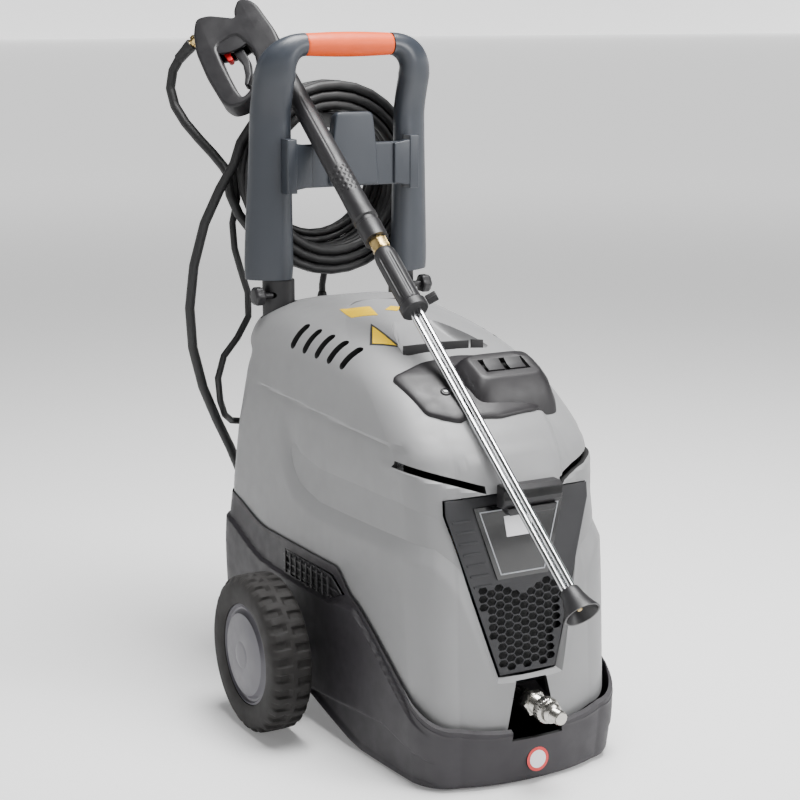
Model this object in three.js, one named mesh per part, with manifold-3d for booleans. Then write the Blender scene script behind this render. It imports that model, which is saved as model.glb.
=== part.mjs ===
// Wheeled hot-water pressure washer, millimetres, +Z up.
// The hood's front faces -Y, the machine is symmetric about X = 0 apart from its gun, lance and cords.
import * as THREE from 'three';
import { mergeVertices } from 'three/addons/utils/BufferGeometryUtils.js';
import Module from 'manifold-3d';

const wasm = await Module();
wasm.setup();

// ---------------------------------------------------------------- driving dimensions
const GAP = 0.3;                                  // clearance between touching pieces
const AXLE = { y: -8, z: 115, radius: 10, half: 262 };
const TYRE = { radius: 115, width: 64, outer: 276, rim: 74 };
const WALL = 4;                                   // moulded shell thickness
const POST = { x: 122, y: 214, foot: 624 };       // handle post at its lower end
const BAR = { y: 182, z: 976, half: 73 };
const LEG = { x: 107, y: 212, top: 623.7, bottom: 70 };
const COIL = { x: 12, y: 272, z: 768.5, mean: 129, depth: 48, wall: 46 };
const LEAD_COIL = { x: 6, y: 313, z: 779, mean: 112, depth: 23, wall: 33 };
const HOSE = 15.3;
const LEAD = 10.8;
const LANCE = {
  start: new THREE.Vector3(-71, 255, 931.5),       // a point on the lance's axis
  dir: new THREE.Vector3(32, -615, -516).normalize(),
};
LANCE.side = new THREE.Vector3(-0.8025, 0.3584, -0.477);
LANCE.side.addScaledVector(LANCE.dir, -LANCE.side.dot(LANCE.dir)).normalize();
LANCE.normal = new THREE.Vector3().crossVectors(LANCE.dir, LANCE.side);

const COLOUR = {
  hood: 0x8b8c8e, base: 0x3b3a3f, frame: 0x474b51, grip: 0xe8602c, black: 0x1b1b1d, tyre: 0x1f1c1a,
  hub: 0x5a5962, nickel: 0xa9a7a0, brass: 0xb99a4c, steel: 0xb9bcc0, red: 0xb3202a, white: 0xd8d9dc,
  tank: 0x3a3f46, iron: 0x55585c, copper: 0xa8683e, lens: 0x3f8f4a,
};

const machine = new THREE.Group();

// ---------------------------------------------------------------- helpers
const smooth = (a, b, x) => {
  const t = Math.min(1, Math.max(0, (x - a) / (b - a)));
  return t * t * (3 - 2 * t);
};

function material(colour, roughness = 0.6, metalness = 0) {
  return new THREE.MeshStandardMaterial({ color: colour, roughness, metalness });
}

function add(name, geometry, finish) {
  const mesh = new THREE.Mesh(geometry, finish);
  mesh.name = name;
  machine.add(mesh);
  return mesh;
}

// Shared vertices, position only.
function weld(geometry) {
  const bare = new THREE.BufferGeometry();
  bare.setAttribute('position', geometry.getAttribute('position').clone());
  if (geometry.getIndex()) bare.setIndex(geometry.getIndex().clone());
  const merged = mergeVertices(bare, 1e-4);
  const index = Array.from(merged.getIndex().array);
  const kept = [];
  for (let i = 0; i < index.length; i += 3) {
    const [a, b, c] = index.slice(i, i + 3);
    if (a !== b && b !== c && a !== c) kept.push(a, b, c);
  }
  merged.setIndex(kept);
  return merged;
}

function signedVolume(geometry) {
  const p = geometry.getAttribute('position');
  const index = geometry.getIndex().array;
  const a = new THREE.Vector3();
  const b = new THREE.Vector3();
  const c = new THREE.Vector3();
  let sum = 0;
  for (let i = 0; i < index.length; i += 3) {
    a.fromBufferAttribute(p, index[i]);
    b.fromBufferAttribute(p, index[i + 1]);
    c.fromBufferAttribute(p, index[i + 2]);
    sum += a.dot(b.cross(c));
  }
  return sum / 6;
}

// Closed mesh with its faces pointing out.
function outward(geometry) {
  const closed = weld(geometry);
  if (signedVolume(closed) < 0) {
    const index = closed.getIndex().array;
    for (let i = 0; i < index.length; i += 3) [index[i], index[i + 1]] = [index[i + 1], index[i]];
  }
  closed.computeVertexNormals();
  return closed;
}

function solid(geometry) {
  const closed = outward(geometry);
  const mesh = new wasm.Mesh({
    numProp: 3,
    vertProperties: new Float32Array(closed.getAttribute('position').array),
    triVerts: new Uint32Array(closed.getIndex().array),
  });
  return new wasm.Manifold(mesh);
}

function geometryOf(manifold) {
  const mesh = manifold.getMesh();
  const geometry = new THREE.BufferGeometry();
  geometry.setAttribute('position', new THREE.BufferAttribute(new Float32Array(mesh.vertProperties), 3));
  geometry.setIndex(new THREE.BufferAttribute(new Uint32Array(mesh.triVerts), 1));
  geometry.computeVertexNormals();
  return geometry;
}

function cut(geometry, ...tools) {
  return geometryOf(tools.reduce((body, tool) => body.subtract(solid(tool)), solid(geometry)));
}

function join(geometry, ...others) {
  return geometryOf(others.reduce((body, other) => body.add(solid(other)), solid(geometry)));
}

// The biggest piece of a solid that a cut left in several.
function largestOf(manifold) {
  return geometryOf(manifold.decompose().sort((a, b) => b.volume() - a.volume())[0]);
}

function box(width, depth, height, x, y, z) {
  return new THREE.BoxGeometry(width, depth, height).translate(x, y, z);
}

// Cylinder along an axis ('x', 'y' or 'z') centred on a point.
function rod(radius, length, axis, x, y, z, sides = 20) {
  const geometry = new THREE.CylinderGeometry(radius, radius, length, sides);
  if (axis === 'x') geometry.rotateZ(Math.PI / 2);
  if (axis === 'z') geometry.rotateX(Math.PI / 2);
  return geometry.translate(x, y, z);
}

// Turned part: profile of [radius, height] pairs, spun about an axis.
function turned(profile, axis, x, y, z, sides = 24) {
  const points = profile.map(([r, h]) => new THREE.Vector2(r, h));
  const geometry = new THREE.LatheGeometry(points, sides);
  if (axis === 'x') geometry.rotateZ(-Math.PI / 2);
  if (axis === 'z') geometry.rotateX(Math.PI / 2);
  return geometry.translate(x, y, z);
}

function shapeOf(points) {
  return new THREE.Shape(points.map(([u, v]) => new THREE.Vector2(u, v)));
}

function plate(points, thickness, holes = []) {
  const shape = shapeOf(points);
  for (const hole of holes) shape.holes.push(new THREE.Path(hole.map(([u, v]) => new THREE.Vector2(u, v))));
  return new THREE.ExtrudeGeometry(shape, { depth: thickness, bevelEnabled: false });
}

// Plate drawn in X-Z, from y to y + thickness.
function plateXZ(points, thickness, y, holes = []) {
  return plate(points, thickness, holes).rotateX(Math.PI / 2).translate(0, y + thickness, 0);
}

// Plate drawn in Y-Z, from x to x + thickness.
function plateYZ(points, thickness, x, holes = []) {
  const swap = new THREE.Matrix4().makeBasis(
    new THREE.Vector3(0, 1, 0), new THREE.Vector3(0, 0, 1), new THREE.Vector3(1, 0, 0));
  return plate(points, thickness, holes).applyMatrix4(swap).translate(x, 0, 0);
}

function pipe(points, radius, sides = 8, steps = 24) {
  const path = new THREE.CatmullRomCurve3(points.map((p) => new THREE.Vector3(...p)), false, 'centripetal');
  const ring = new THREE.Shape();
  for (let i = 0; i < sides; i += 1) {
    const a = (2 * Math.PI * i) / sides;
    ring[i ? 'lineTo' : 'moveTo'](radius * Math.cos(a), radius * Math.sin(a));
  }
  return new THREE.ExtrudeGeometry(ring, { steps, bevelEnabled: false, extrudePath: path });
}

// ---------------------------------------------------------------- moulded shells
// One row per height: [z, front, crown, front half-width, front radius, rear, half-width, rear radius].
const HOOD_ROWS = [
  [60, -340, 17, 146, 42, 282, 171, 45],
  [150, -334, 17, 148, 44, 284, 172, 45],
  [290, -324, 16, 150, 48, 282, 171, 45],
  [312, -322, 16, 150, 50, 280, 169, 46],
  [344, -319, 15, 147, 50, 277, 163, 46],
  [400, -312, 15, 148, 54, 270, 162, 48],
  [440, -295, 15, 148, 58, 264, 160, 50],
  [466, -273, 14, 146, 60, 261, 158, 52],
  [490, -245, 13, 142, 62, 258, 156, 55],
  [512, -214, 12, 137, 62, 254, 153, 60],
  [530, -180, 11, 131, 60, 256, 151, 50],
  [547, -142, 10, 122, 56, 253, 146, 48],
  [562, -106, 9, 110, 50, 248, 138, 48],
  [575, -58, 8, 94, 42, 238, 125, 50],
  [586, -4, 6, 74, 34, 222, 104, 48],
  [594, 48, 4, 50, 22, 198, 74, 40],
  [599, 92, 2, 24, 10, 166, 40, 20],
];
const BASE_ROWS = [
  [0, -343, 18, 145, 42, 268, 171, 42],
  [14, -349, 18, 152, 44, 279, 177, 44],
  [80, -352, 18, 156, 45, 288, 180, 46],
  [200, -346, 18, 158, 46, 292, 183, 46],
  [236, -344, 18, 158, 46, 291, 182, 46],
  [300, -336, 18, 158, 46, 284, 178, 46],
];

function rowAt(rows, z) {
  let i = 0;
  while (i < rows.length - 2 && z > rows[i + 1][0]) i += 1;
  const t = Math.min(1, Math.max(0, (z - rows[i][0]) / (rows[i + 1][0] - rows[i][0])));
  return rows[i].map((value, k) => value + (rows[i + 1][k] - value) * t);
}

const quad = (a, b, c, t) => [0, 1].map((k) =>
  (1 - t) * (1 - t) * a[k] + 2 * t * (1 - t) * b[k] + t * t * c[k]);

// Right half of a plan section, from the front centre to the rear centre.
const HALF_STEPS = { front: 3, frontCorner: 4, side: 3, rearCorner: 4, rear: 2 };
function halfPlan([, front, crown, frontHalf, frontRadius, rear, half, rearRadius], inset) {
  const f = front + inset;
  const fh = frontHalf - inset;
  const fr = Math.max(frontRadius - inset, 2);
  const r = rear - inset;
  const h = half - inset;
  const rr = Math.max(rearRadius - inset, 2);
  const lean = (h - fh) * 0.25;
  const pieces = [
    [[0, f - crown], [(fh - fr) * 0.6, f - crown], [fh - fr, f], HALF_STEPS.front],
    [[fh - fr, f], [fh - fr * 0.1, f + fr * 0.12], [fh + lean, f + fr + lean], HALF_STEPS.frontCorner],
    [[fh + lean, f + fr + lean], [h, (f + r) / 2 - 60], [h, r - rr], HALF_STEPS.side],
    [[h, r - rr], [h, r], [h - rr, r], HALF_STEPS.rearCorner],
    [[h - rr, r], [(h - rr) / 2, r], [0, r], HALF_STEPS.rear],
  ];
  const points = [];
  for (const [a, b, c, steps] of pieces) {
    for (let i = 0; i < steps; i += 1) points.push(quad(a, b, c, i / steps));
  }
  points.push([0, r]);
  return points;
}

function planRing(rows, zOf, inset) {
  const nominal = halfPlan(rowAt(rows, 250), inset);
  const right = nominal.map(([, y], i) => {
    const z = zOf(y);
    const [x, yy] = halfPlan(rowAt(rows, z), inset)[i];
    return new THREE.Vector3(x, yy, z);
  });
  const left = right.slice(1, -1).reverse().map((p) => new THREE.Vector3(-p.x, p.y, p.z));
  return [...right, ...left];
}

// Cap bridging: shells are symmetric about X = 0, so mirrored points share a bar.
function ladder(ring, base, flip, index) {
  const count = ring.length;
  const half = count / 2;
  const mirrorOf = (i) => (count - i) % count;
  for (let i = 0; i < half; i += 1) {
    const a = i;
    const b = i + 1;
    const c = mirrorOf(b);
    const d = mirrorOf(a);
    for (const face of [[a, b, c], [a, c, d]]) {
      const [p, q, s] = face;
      if (p === q || q === s || p === s) continue;
      index.push(...(flip ? [base + p, base + s, base + q] : [base + p, base + q, base + s]));
    }
  }
}

// Shell open at one end: outer rings from the closed end to the rim, then inner rings back again.
function shell(outer, inner) {
  const rings = [...outer, ...inner];
  const count = rings[0].length;
  const positions = rings.flat().flatMap((p) => [p.x, p.y, p.z]);
  const index = [];
  for (let r = 0; r + 1 < rings.length; r += 1) {
    for (let i = 0; i < count; i += 1) {
      const j = (i + 1) % count;
      const a = r * count;
      const b = a + count;
      index.push(a + i, a + j, b + j, a + i, b + j, b + i);
    }
  }
  ladder(rings[0], 0, true, index);
  ladder(rings[rings.length - 1], (rings.length - 1) * count, false, index);
  const geometry = new THREE.BufferGeometry();
  geometry.setAttribute('position', new THREE.Float32BufferAttribute(positions, 3));
  geometry.setIndex(index);
  return outward(geometry);
}

// Height of the base's rim, which the hood sits inside, against Y.
function rimHeight(y) {
  const drop = smooth(-345, -150, y);
  const low = 76 + 10 * smooth(-366, -340, y);
  const shoulder = 222 + 36 * smooth(-156, -96, y);
  const rear = 28 * smooth(120, 270, y);
  return low + (shoulder - low) * (0.35 * drop + 0.65 * Math.min(1, Math.max(0, (y + 345) / 190))) + rear;
}

// Height of the base's underside against Y: it ramps up ahead of the wheels.
function bellyHeight(y) {
  return 4 + 50 * Math.min(1, Math.max(0, (y + 156) / 165));
}

function shellRings(rows, lower, upper, levels, inset) {
  return levels.map((t) => planRing(rows, (y) => lower(y) + (upper(y) - lower(y)) * t, inset));
}

// ---------------------------------------------------------------- base
const BASE_LEVELS = [0, 0.05, 0.3, 0.7, 1];
function buildBase() {
  const outer = shellRings(BASE_ROWS, bellyHeight, rimHeight, BASE_LEVELS, 0);
  const innerFloor = (y) => bellyHeight(y) + WALL;
  const inner = shellRings(BASE_ROWS, innerFloor, rimHeight, [1, 0.7, 0.3, 0.03], WALL);
  const grille = [[58, 244], [-92, 244], [-128, 224], [-86, 208], [36, 208]];
  const notch = [[-26, 200], [26, 200], [40, 66], [-40, 66]];
  const tools = [
    plateYZ(grille, 60, 150),
    plateYZ(grille, 60, -210),
    plateXZ(notch, 60, -380),
    rod(AXLE.radius + 1, 500, 'x', 0, AXLE.y, AXLE.z),
    rod(11, 40, 'y', -66, 290, 178, 16),
    rod(21, 40, 'y', 92, 290, 220, 16),
  ];
  add('base_tray', cut(shell(outer, inner), ...tools), material(COLOUR.base, 0.62));
}

function buildFeet() {
  for (const [side, x] of [['left', -95], ['right', 95]]) {
    const foot = turned([[0, 0], [15, 0], [17, 3.7], [0, 3.7]], 'z', x, -290, 0, 16);
    add(`foot_${side}`, outward(foot), material(COLOUR.black, 0.9));
  }
}

function buildSideGrilles() {
  const outline = [[57, 243], [-91, 243], [-126, 224], [-86, 209], [36, 209]];
  const bars = [];
  for (let y = 26; y > -90; y -= 18) bars.push(box(400, 12, 28, 0, y, 226));
  for (const [side, sign] of [['left', -1], ['right', 1]]) {
    const grille = plateYZ(outline, 3, sign > 0 ? 176.8 : -179.8);
    add(`side_grille_${side}`, cut(grille, ...bars), material(COLOUR.black, 0.8));
  }
}

// ---------------------------------------------------------------- hood
const PANEL = {
  outline: [[-112, 394], [-112, 374], [-44, 151], [44, 151], [112, 374], [112, 394]],
  frontTop: -306, frontBottom: -339, top: 394, bottom: 151, thick: 3,
};
PANEL.lean = Math.atan((PANEL.frontTop - PANEL.frontBottom) / (PANEL.top - PANEL.bottom));

// Moves a plate drawn in X-Z onto the panel's leaning plane, standing proud by an amount.
function onPanel(geometry, proud) {
  const top = PANEL.top;
  return geometry.translate(0, 0, -top).rotateX(-PANEL.lean).translate(0, PANEL.frontTop - proud, top);
}

function offsetOutline(points, amount) {
  const middle = (PANEL.top + PANEL.bottom) / 2;
  return points.map(([x, z]) => [x + Math.sign(x) * amount, z + Math.sign(z - middle) * amount]);
}

const CAP_OUTLINE = [[-110, -160], [-60, -146], [0, -142], [60, -146], [110, -160], [112, -190], [99, -232],
  [62, -256], [0, -266], [-62, -256], [-99, -232], [-112, -190]];

function slotTool(sign) {
  const points = [[60, -360], [60, -300], [162, -232], [176, -262], [120, -340]];
  const base = plate(points.map(([x, y]) => [sign * x, y]), 6);
  const slope = new THREE.Matrix4().makeShear(0, 0, 0.3 * sign, 0, 0, 0);
  slope.elements[2] = 0.3 * sign;
  return outward(base.applyMatrix4(slope).translate(0, 0, 384));
}

function ventTools() {
  const tools = [];
  for (const sign of [-1, 1]) {
    for (const y of [76, 40, 4, -32, -68]) {
      const slot = box(70, 6, 30, 0, 0, 0).rotateY(sign * Math.PI / 4);
      tools.push(outward(slot.translate(sign * 136, y, 557)));
    }
  }
  return tools;
}

const RECESS = { front: -122, rear: 22, half: 74 };
function recessBowl(inset, lift) {
  const rear = RECESS.rear - inset;
  const front = RECESS.front + inset;
  const half = RECESS.half - inset;
  return plateYZ([[front, 640], [front, 560 + lift], [rear - 40, 548 + lift], [rear, 640]],
    2 * half, -half);
}

function buildHood() {
  const lower = (y) => rimHeight(y) - 12;
  const knee = () => 466;
  const zs = HOOD_ROWS.map((row) => row[0]).filter((z) => z > 466);
  const outer = [
    ...zs.slice().reverse().map((z) => planRing(HOOD_ROWS, () => z, 0)),
    ...shellRings(HOOD_ROWS, knee, lower, [0, 0.22, 0.45, 0.55, 0.8, 1], 0),
  ];
  const innerZs = zs.filter((z) => z < 590);
  const inner = [
    ...shellRings(HOOD_ROWS, lower, knee, [0, 0.45, 1], WALL),
    ...innerZs.map((z) => planRing(HOOD_ROWS, () => z, WALL + 2.5)),
  ];
  const legHoles = [-1, 1].map((sign) => outward(
    legSection(sign, 4.5).translate(0, 0, 480)));
  const tools = [
    outward(onPanel(plateXZ(offsetOutline(PANEL.outline, 2), 60, -40), 0)),
    slotTool(1),
    slotTool(-1),
    ...ventTools(),
    plateXZ([[-24, 143], [24, 143], [44, 60], [-44, 60]], 60, -380),
    outward(recessBowl(0, 0)),
    rod(13, 40, 'y', -104, 284, 372, 16),
    ...legHoles,
  ];
  add('hood', cut(shell(outer, inner), ...tools), material(COLOUR.hood, 0.5));
}

// Pan that lines the recess: its walls stop just under the hood's skin.
function buildRecessPan() {
  const block = solid(recessBowl(GAP, GAP)).intersect(hoodSolid(-1));
  const flue = rod(36, 80, 'z', 0, -48, 560, 24);
  const pan = block.subtract(solid(recessBowl(3 + GAP, 4))).subtract(solid(flue));
  add('exhaust_recess', largestOf(pan), material(COLOUR.hood, 0.5));
}

// ---------------------------------------------------------------- front panel
function hexagon(cx, cz, rx, rz) {
  return [0, 1, 2, 3, 4, 5].map((k) => {
    const a = (k * Math.PI) / 3;
    return [cx + rx * Math.cos(a), cz + rz * Math.sin(a)];
  });
}

function buildFrontPanel() {
  const holes = [];
  const pitch = { x: 20, z: 17 };
  for (let row = 0; row < 6; row += 1) {
    for (let column = -3; column <= 3; column += 1) {
      const z = 166 + pitch.z * row + (column % 2 ? pitch.z / 2 : 0);
      const x = column * pitch.x;
      const limit = 44 + ((z - 151) * 68) / 225 - 14;
      if (Math.abs(x) < limit && z < 262) holes.push(hexagon(x, z, 9.2, 6.6));
    }
  }
  const panel = onPanel(plateXZ(PANEL.outline, PANEL.thick, 0, holes), 0);
  add('front_panel', outward(panel), material(COLOUR.black, 0.55));
  const plateOutline = [[-71, 380], [-40, 280], [40, 280], [71, 380]];
  const name = onPanel(plateXZ(plateOutline, 2, -2 - GAP), 0);
  add('name_plate', outward(name), material(0x101113, 0.25));
}

function buildLanceRest() {
  const profile = [[-329.5, 414], [-345, 414], [-350, 409], [-350, 391], [-342, 384], [-329.5, 384]];
  const pegs = [-30, 30].map((x) => box(16, 21, 6, x, -319.5, 389));
  add('lance_rest', join(plateYZ(profile, 92, -46), ...pegs), material(COLOUR.black, 0.7));
}

// ---------------------------------------------------------------- control cap
const CAP_TILT = Math.atan2(17, 38);
const CAP_WELL = { x: 38, y: -206, z: 538 };

// Thin moulded cap that follows the hood's slope, with a raised pad around the two rockers.
function buildControlCap() {
  const crest = [[-142, 556], [-191, 536], [-226, 517], [-248, 499], [-258, 490], [-266, 482], [-266, 460],
    [-142, 500]];
  const skin = solid(plateYZ(crest, 224, -112)).intersect(solid(plate(CAP_OUTLINE, 200).translate(0, 0, 440)));
  const pad = solid(onCap(box(98, 58, 30, 0, 0, -3)));
  const well = solid(onCap(box(72, 30, 14, 0, 0, 11)));
  const cap = skin.add(pad).subtract(hoodSolid(GAP)).subtract(well);
  add('control_cap', largestOf(cap), material(COLOUR.black, 0.45));
}

// Places a piece drawn about the origin on the cap's raised pad.
function onCap(geometry) {
  return geometry.rotateX(CAP_TILT).translate(CAP_WELL.x, CAP_WELL.y, CAP_WELL.z);
}

// The upper hood's outer form as one block, grown by an amount, for fitting pieces to it.
const UPPER_ROWS = 12;
function hoodSolid(grow) {
  const rings = HOOD_ROWS.slice(-UPPER_ROWS).reverse().map(([z]) => planRing(HOOD_ROWS, () => z + grow, -grow));
  return solid(shell(rings, []));
}

// Rockers at rest are tipped back, to off; each turns about its own X line.
const ROCKER = { pitch: 34, width: 26, depth: 22, thick: 6, pivot: 10, tip: (8 * Math.PI) / 180 };
function buildRockers() {
  for (const [side, sign] of [['left', -1], ['right', 1]]) {
    const rocker = box(ROCKER.width, ROCKER.depth, ROCKER.thick, (sign * ROCKER.pitch) / 2, 0, 1);
    const tipped = rocker.rotateX(-ROCKER.tip).translate(0, 0, ROCKER.pivot);
    add(`rocker_${side}`, outward(onCap(tipped)), material(COLOUR.black, 0.4));
  }
}

// ---------------------------------------------------------------- wheels
function buildWheels() {
  const collars = [-1, 1].map((sign) => rod(17, 3, 'x', sign * 190, AXLE.y, AXLE.z, 20));
  const shaft = rod(AXLE.radius, 2 * AXLE.half, 'x', 0, AXLE.y, AXLE.z, 20);
  add('axle', join(shaft, ...collars), material(COLOUR.steel, 0.4, 0.9));
  const w = TYRE.width;
  const tyre = [[TYRE.rim + 0.3, 4], [TYRE.rim + 14, 0], [TYRE.radius - 9, 0], [TYRE.radius, 9],
    [TYRE.radius, w - 9], [TYRE.radius - 9, w], [TYRE.rim + 14, w], [TYRE.rim + 0.3, w - 4],
    [TYRE.rim + 0.3, 4]];
  const hub = [[AXLE.radius + 0.08, 6], [24, 2], [30, 16], [TYRE.rim - 8, 16], [TYRE.rim, 5],
    [TYRE.rim, w - 5], [TYRE.rim - 6, w - 5], [TYRE.rim - 12, w - 12], [40, w - 6], [17, w - 4],
    [17, w - 14], [AXLE.radius + 0.08, w - 14], [AXLE.radius + 0.08, 6]];
  for (const [side, sign] of [['left', -1], ['right', 1]]) {
    const place = (profile, sides) => {
      const geometry = turned(profile, 'x', TYRE.outer - w, AXLE.y, AXLE.z, sides);
      return outward(sign > 0 ? geometry : geometry.scale(-1, 1, 1));
    };
    add(`tyre_${side}`, place(tyre, 36), material(COLOUR.tyre, 0.85));
    add(`hub_${side}`, place(hub, 30), material(COLOUR.hub, 0.5));
  }
}

// ---------------------------------------------------------------- handle
function ovalRing(centre, tangent, long, a, b, sides = 14) {
  const normal = new THREE.Vector3().crossVectors(tangent, long).normalize();
  const main = new THREE.Vector3().crossVectors(normal, tangent).normalize();
  return Array.from({ length: sides }, (_, k) => {
    const t = (2 * Math.PI * k) / sides;
    return centre.clone().addScaledVector(main, a * Math.cos(t)).addScaledVector(normal, b * Math.sin(t));
  });
}

// Solid sweep with flat fan ends.
function sweep(rings) {
  const count = rings[0].length;
  const positions = rings.flat().flatMap((p) => [p.x, p.y, p.z]);
  const index = [];
  for (let r = 0; r + 1 < rings.length; r += 1) {
    for (let i = 0; i < count; i += 1) {
      const j = (i + 1) % count;
      const a = r * count;
      index.push(a + i, a + j, a + count + j, a + i, a + count + j, a + count + i);
    }
  }
  const last = (rings.length - 1) * count;
  for (let i = 1; i + 1 < count; i += 1) {
    index.push(0, i + 1, i);
    index.push(last, last + i, last + i + 1);
  }
  const geometry = new THREE.BufferGeometry();
  geometry.setAttribute('position', new THREE.Float32BufferAttribute(positions, 3));
  geometry.setIndex(index);
  return outward(geometry);
}

// Handle centreline on the right side, from the post's foot to the middle of the bar.
function handleStations() {
  const stations = [];
  const lean = (z) => POST.y - 6 * smooth(624, 880, z) - 26 * smooth(860, BAR.z, z);
  const long = new THREE.Vector3(0.877, 0.48, 0);
  for (const z of [POST.foot, 636, 760, 870]) {
    const t = smooth(600, 900, z);
    stations.push({ p: [POST.x - 3 * t, lean(z), z], a: 38 - 7 * t, b: 22 - 3 * t, long });
  }
  const bend = 46;
  const centre = { x: POST.x - 4 - bend, z: BAR.z - bend };
  for (let k = 0; k <= 5; k += 1) {
    const angle = (k / 5) * (Math.PI / 2);
    const z = centre.z + bend * Math.sin(angle);
    const t = k / 5;
    stations.push({
      p: [centre.x + bend * Math.cos(angle), lean(z), z],
      a: 31 - 14.5 * smooth(0, 1, t), b: 19 - 2.5 * t, long,
    });
  }
  return stations;
}

function handleRings(sign) {
  const stations = handleStations();
  const points = stations.map(({ p }) => new THREE.Vector3(sign * p[0], p[1], p[2]));
  return stations.map(({ a, b, long }, i) => {
    const before = points[Math.max(0, i - 1)];
    const after = points[Math.min(points.length - 1, i + 1)];
    const tangent = after.clone().sub(before).normalize();
    if (i === 0) tangent.set(0, 0, 1);
    if (i === points.length - 1) tangent.set(-sign, 0, 0);
    const side = new THREE.Vector3(sign * long.x, long.y, 0);
    const blend = i / (points.length - 1);
    const main = side.lerp(new THREE.Vector3(sign * 0.6, 0.35, 0.7), Math.max(0, blend * 1.6 - 0.6));
    return ovalRing(points[i], tangent, main, a, b);
  });
}

function buildHandle() {
  const frames = [-1, 1].map((sign) => sweep(handleRings(sign)));
  const ends = BAR.half + 1;
  const stub = rod(15.5, 2 * ends, 'x', 0, BAR.y, BAR.z, 16);
  const body = geometryOf(solid(frames[0]).add(solid(frames[1])).add(solid(stub)));
  const groove = turned([[12.5, 0], [40, 0], [40, 2 * BAR.half], [12.5, 2 * BAR.half], [12.5, 0]], 'x',
    -BAR.half, BAR.y, BAR.z, 16);
  add('handle_frame', cut(body, outward(groove)), material(COLOUR.frame, 0.55));
  const h = BAR.half - GAP;
  const grip = [[12.8, -h], [16.5, -h], [17.5, -h + 6], [17.5, h - 6], [16.5, h], [12.8, h], [12.8, -h]];
  add('handle_grip', outward(turned(grip, 'x', 0, BAR.y, BAR.z, 20)), material(COLOUR.grip, 0.55));
}

function legSection(sign, grow = 0) {
  const long = new THREE.Vector3(sign * 0.877, 0.48, 0);
  const up = new THREE.Vector3(0, 0, 1);
  const ring = (z) => ovalRing(new THREE.Vector3(sign * LEG.x, LEG.y, z), up, long, 25 + grow, 16 + grow, 12);
  return sweep([ring(0), ring(200)]);
}

function buildLegs() {
  const length = LEG.top - LEG.bottom;
  for (const [side, sign] of [['left', -1], ['right', 1]]) {
    const leg = legSection(sign).scale(1, 1, length / 200).translate(0, 0, LEG.bottom);
    const stud = rod(5.3, 60, 'x', sign * 148, 204, 600, 12);
    add(`handle_leg_${side}`, cut(outward(leg), stud), material(COLOUR.black, 0.6));
    const knob = [[0, -16], [5, -16], [5, 0], [13, 0], [15, 4], [15, 12], [12, 17], [0, 17]];
    const turnedKnob = turned(knob, 'x', 137, 204, 600, 12);
    add(`clamp_knob_${side}`, outward(sign > 0 ? turnedKnob : turnedKnob.scale(-1, 1, 1)),
      material(COLOUR.black, 0.6));
  }
}

function buildHookBracket() {
  const half = [[110, 764], [110, 829], [37, 829], [31, 873], [-31, 873], [-37, 829], [-110, 829], [-110, 764]];
  add('hook_bracket', outward(plateXZ(half, 13, 168)), material(COLOUR.frame, 0.55));
  const inner = COIL.z + COIL.mean - COIL.wall / 2 - 3;
  const arm = [[181 + GAP, inner], [181 + GAP, inner - 46], [196, inner - 46], [214, inner - 24],
    [330, inner - 24], [346, inner - 16], [346, inner + 16], [337, inner + 16], [337, inner - 2], [330, inner]];
  add('hose_hook', outward(plateYZ(arm, 28, COIL.x - 14)), material(COLOUR.black, 0.6));
}

// ---------------------------------------------------------------- gun and lance
function alongLance(geometry) {
  const basis = new THREE.Matrix4().makeBasis(LANCE.side.clone().negate(), LANCE.dir, LANCE.normal);
  return outward(geometry.applyMatrix4(basis).translate(LANCE.start.x, LANCE.start.y, LANCE.start.z));
}

// Turned piece on the lance's axis: pairs of [radius, distance along the axis].
function onLance(profile, sides = 16) {
  const points = profile.map(([r, s]) => new THREE.Vector2(r, s));
  return alongLance(new THREE.LatheGeometry(points, sides));
}

// Plate in the gun's own plane: pairs of [along the lance, towards the grip].
function inGunPlane(points, thickness, holes = [], lift = 0) {
  const swap = (list) => list.map(([s, t]) => [-t, s]);
  const geometry = plate(swap(points), thickness, holes.map(swap));
  return alongLance(geometry.translate(0, 0, lift - thickness / 2));
}

// Pin across the gun, at a point of its plane.
function gunPin(s, t, radius, length) {
  return alongLance(rod(radius, length, 'z', -t, s, 0, 12));
}

const GUN = {
  outline: [[-170, 20], [-152, -6], [-74, -19], [-32, -15], [-27, 14], [-4, 24], [18, 50], [25, 78], [19, 98],
    [2, 106], [-55, 109], [-112, 106], [-130, 101], [-173, 84], [-178, 50]],
  hole: [[-106, 38], [-62, 26], [-36, 30], [-10, 42], [8, 62], [12, 74], [-8, 77], [-60, 77], [-104, 74]],
  cheek: [[-112, 26], [-80, 26], [-78, 40], [-80, 58], [-90, 78], [-112, 78]],
  trigger: [[-94, 42], [-80, 38], [-52, 38], [-26, 46], [-10, 58], [-14, 63], [-30, 55], [-54, 50], [-74, 54],
    [-92, 55]],
  latch: [[-103, 60], [-96, 59], [-72, 60], [-70, 64], [-72, 68], [-98, 70], [-103, 68]],
  triggerPin: [-86, 48],
  latchPin: [-98, 64.5],
  thick: 32,
};

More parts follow.
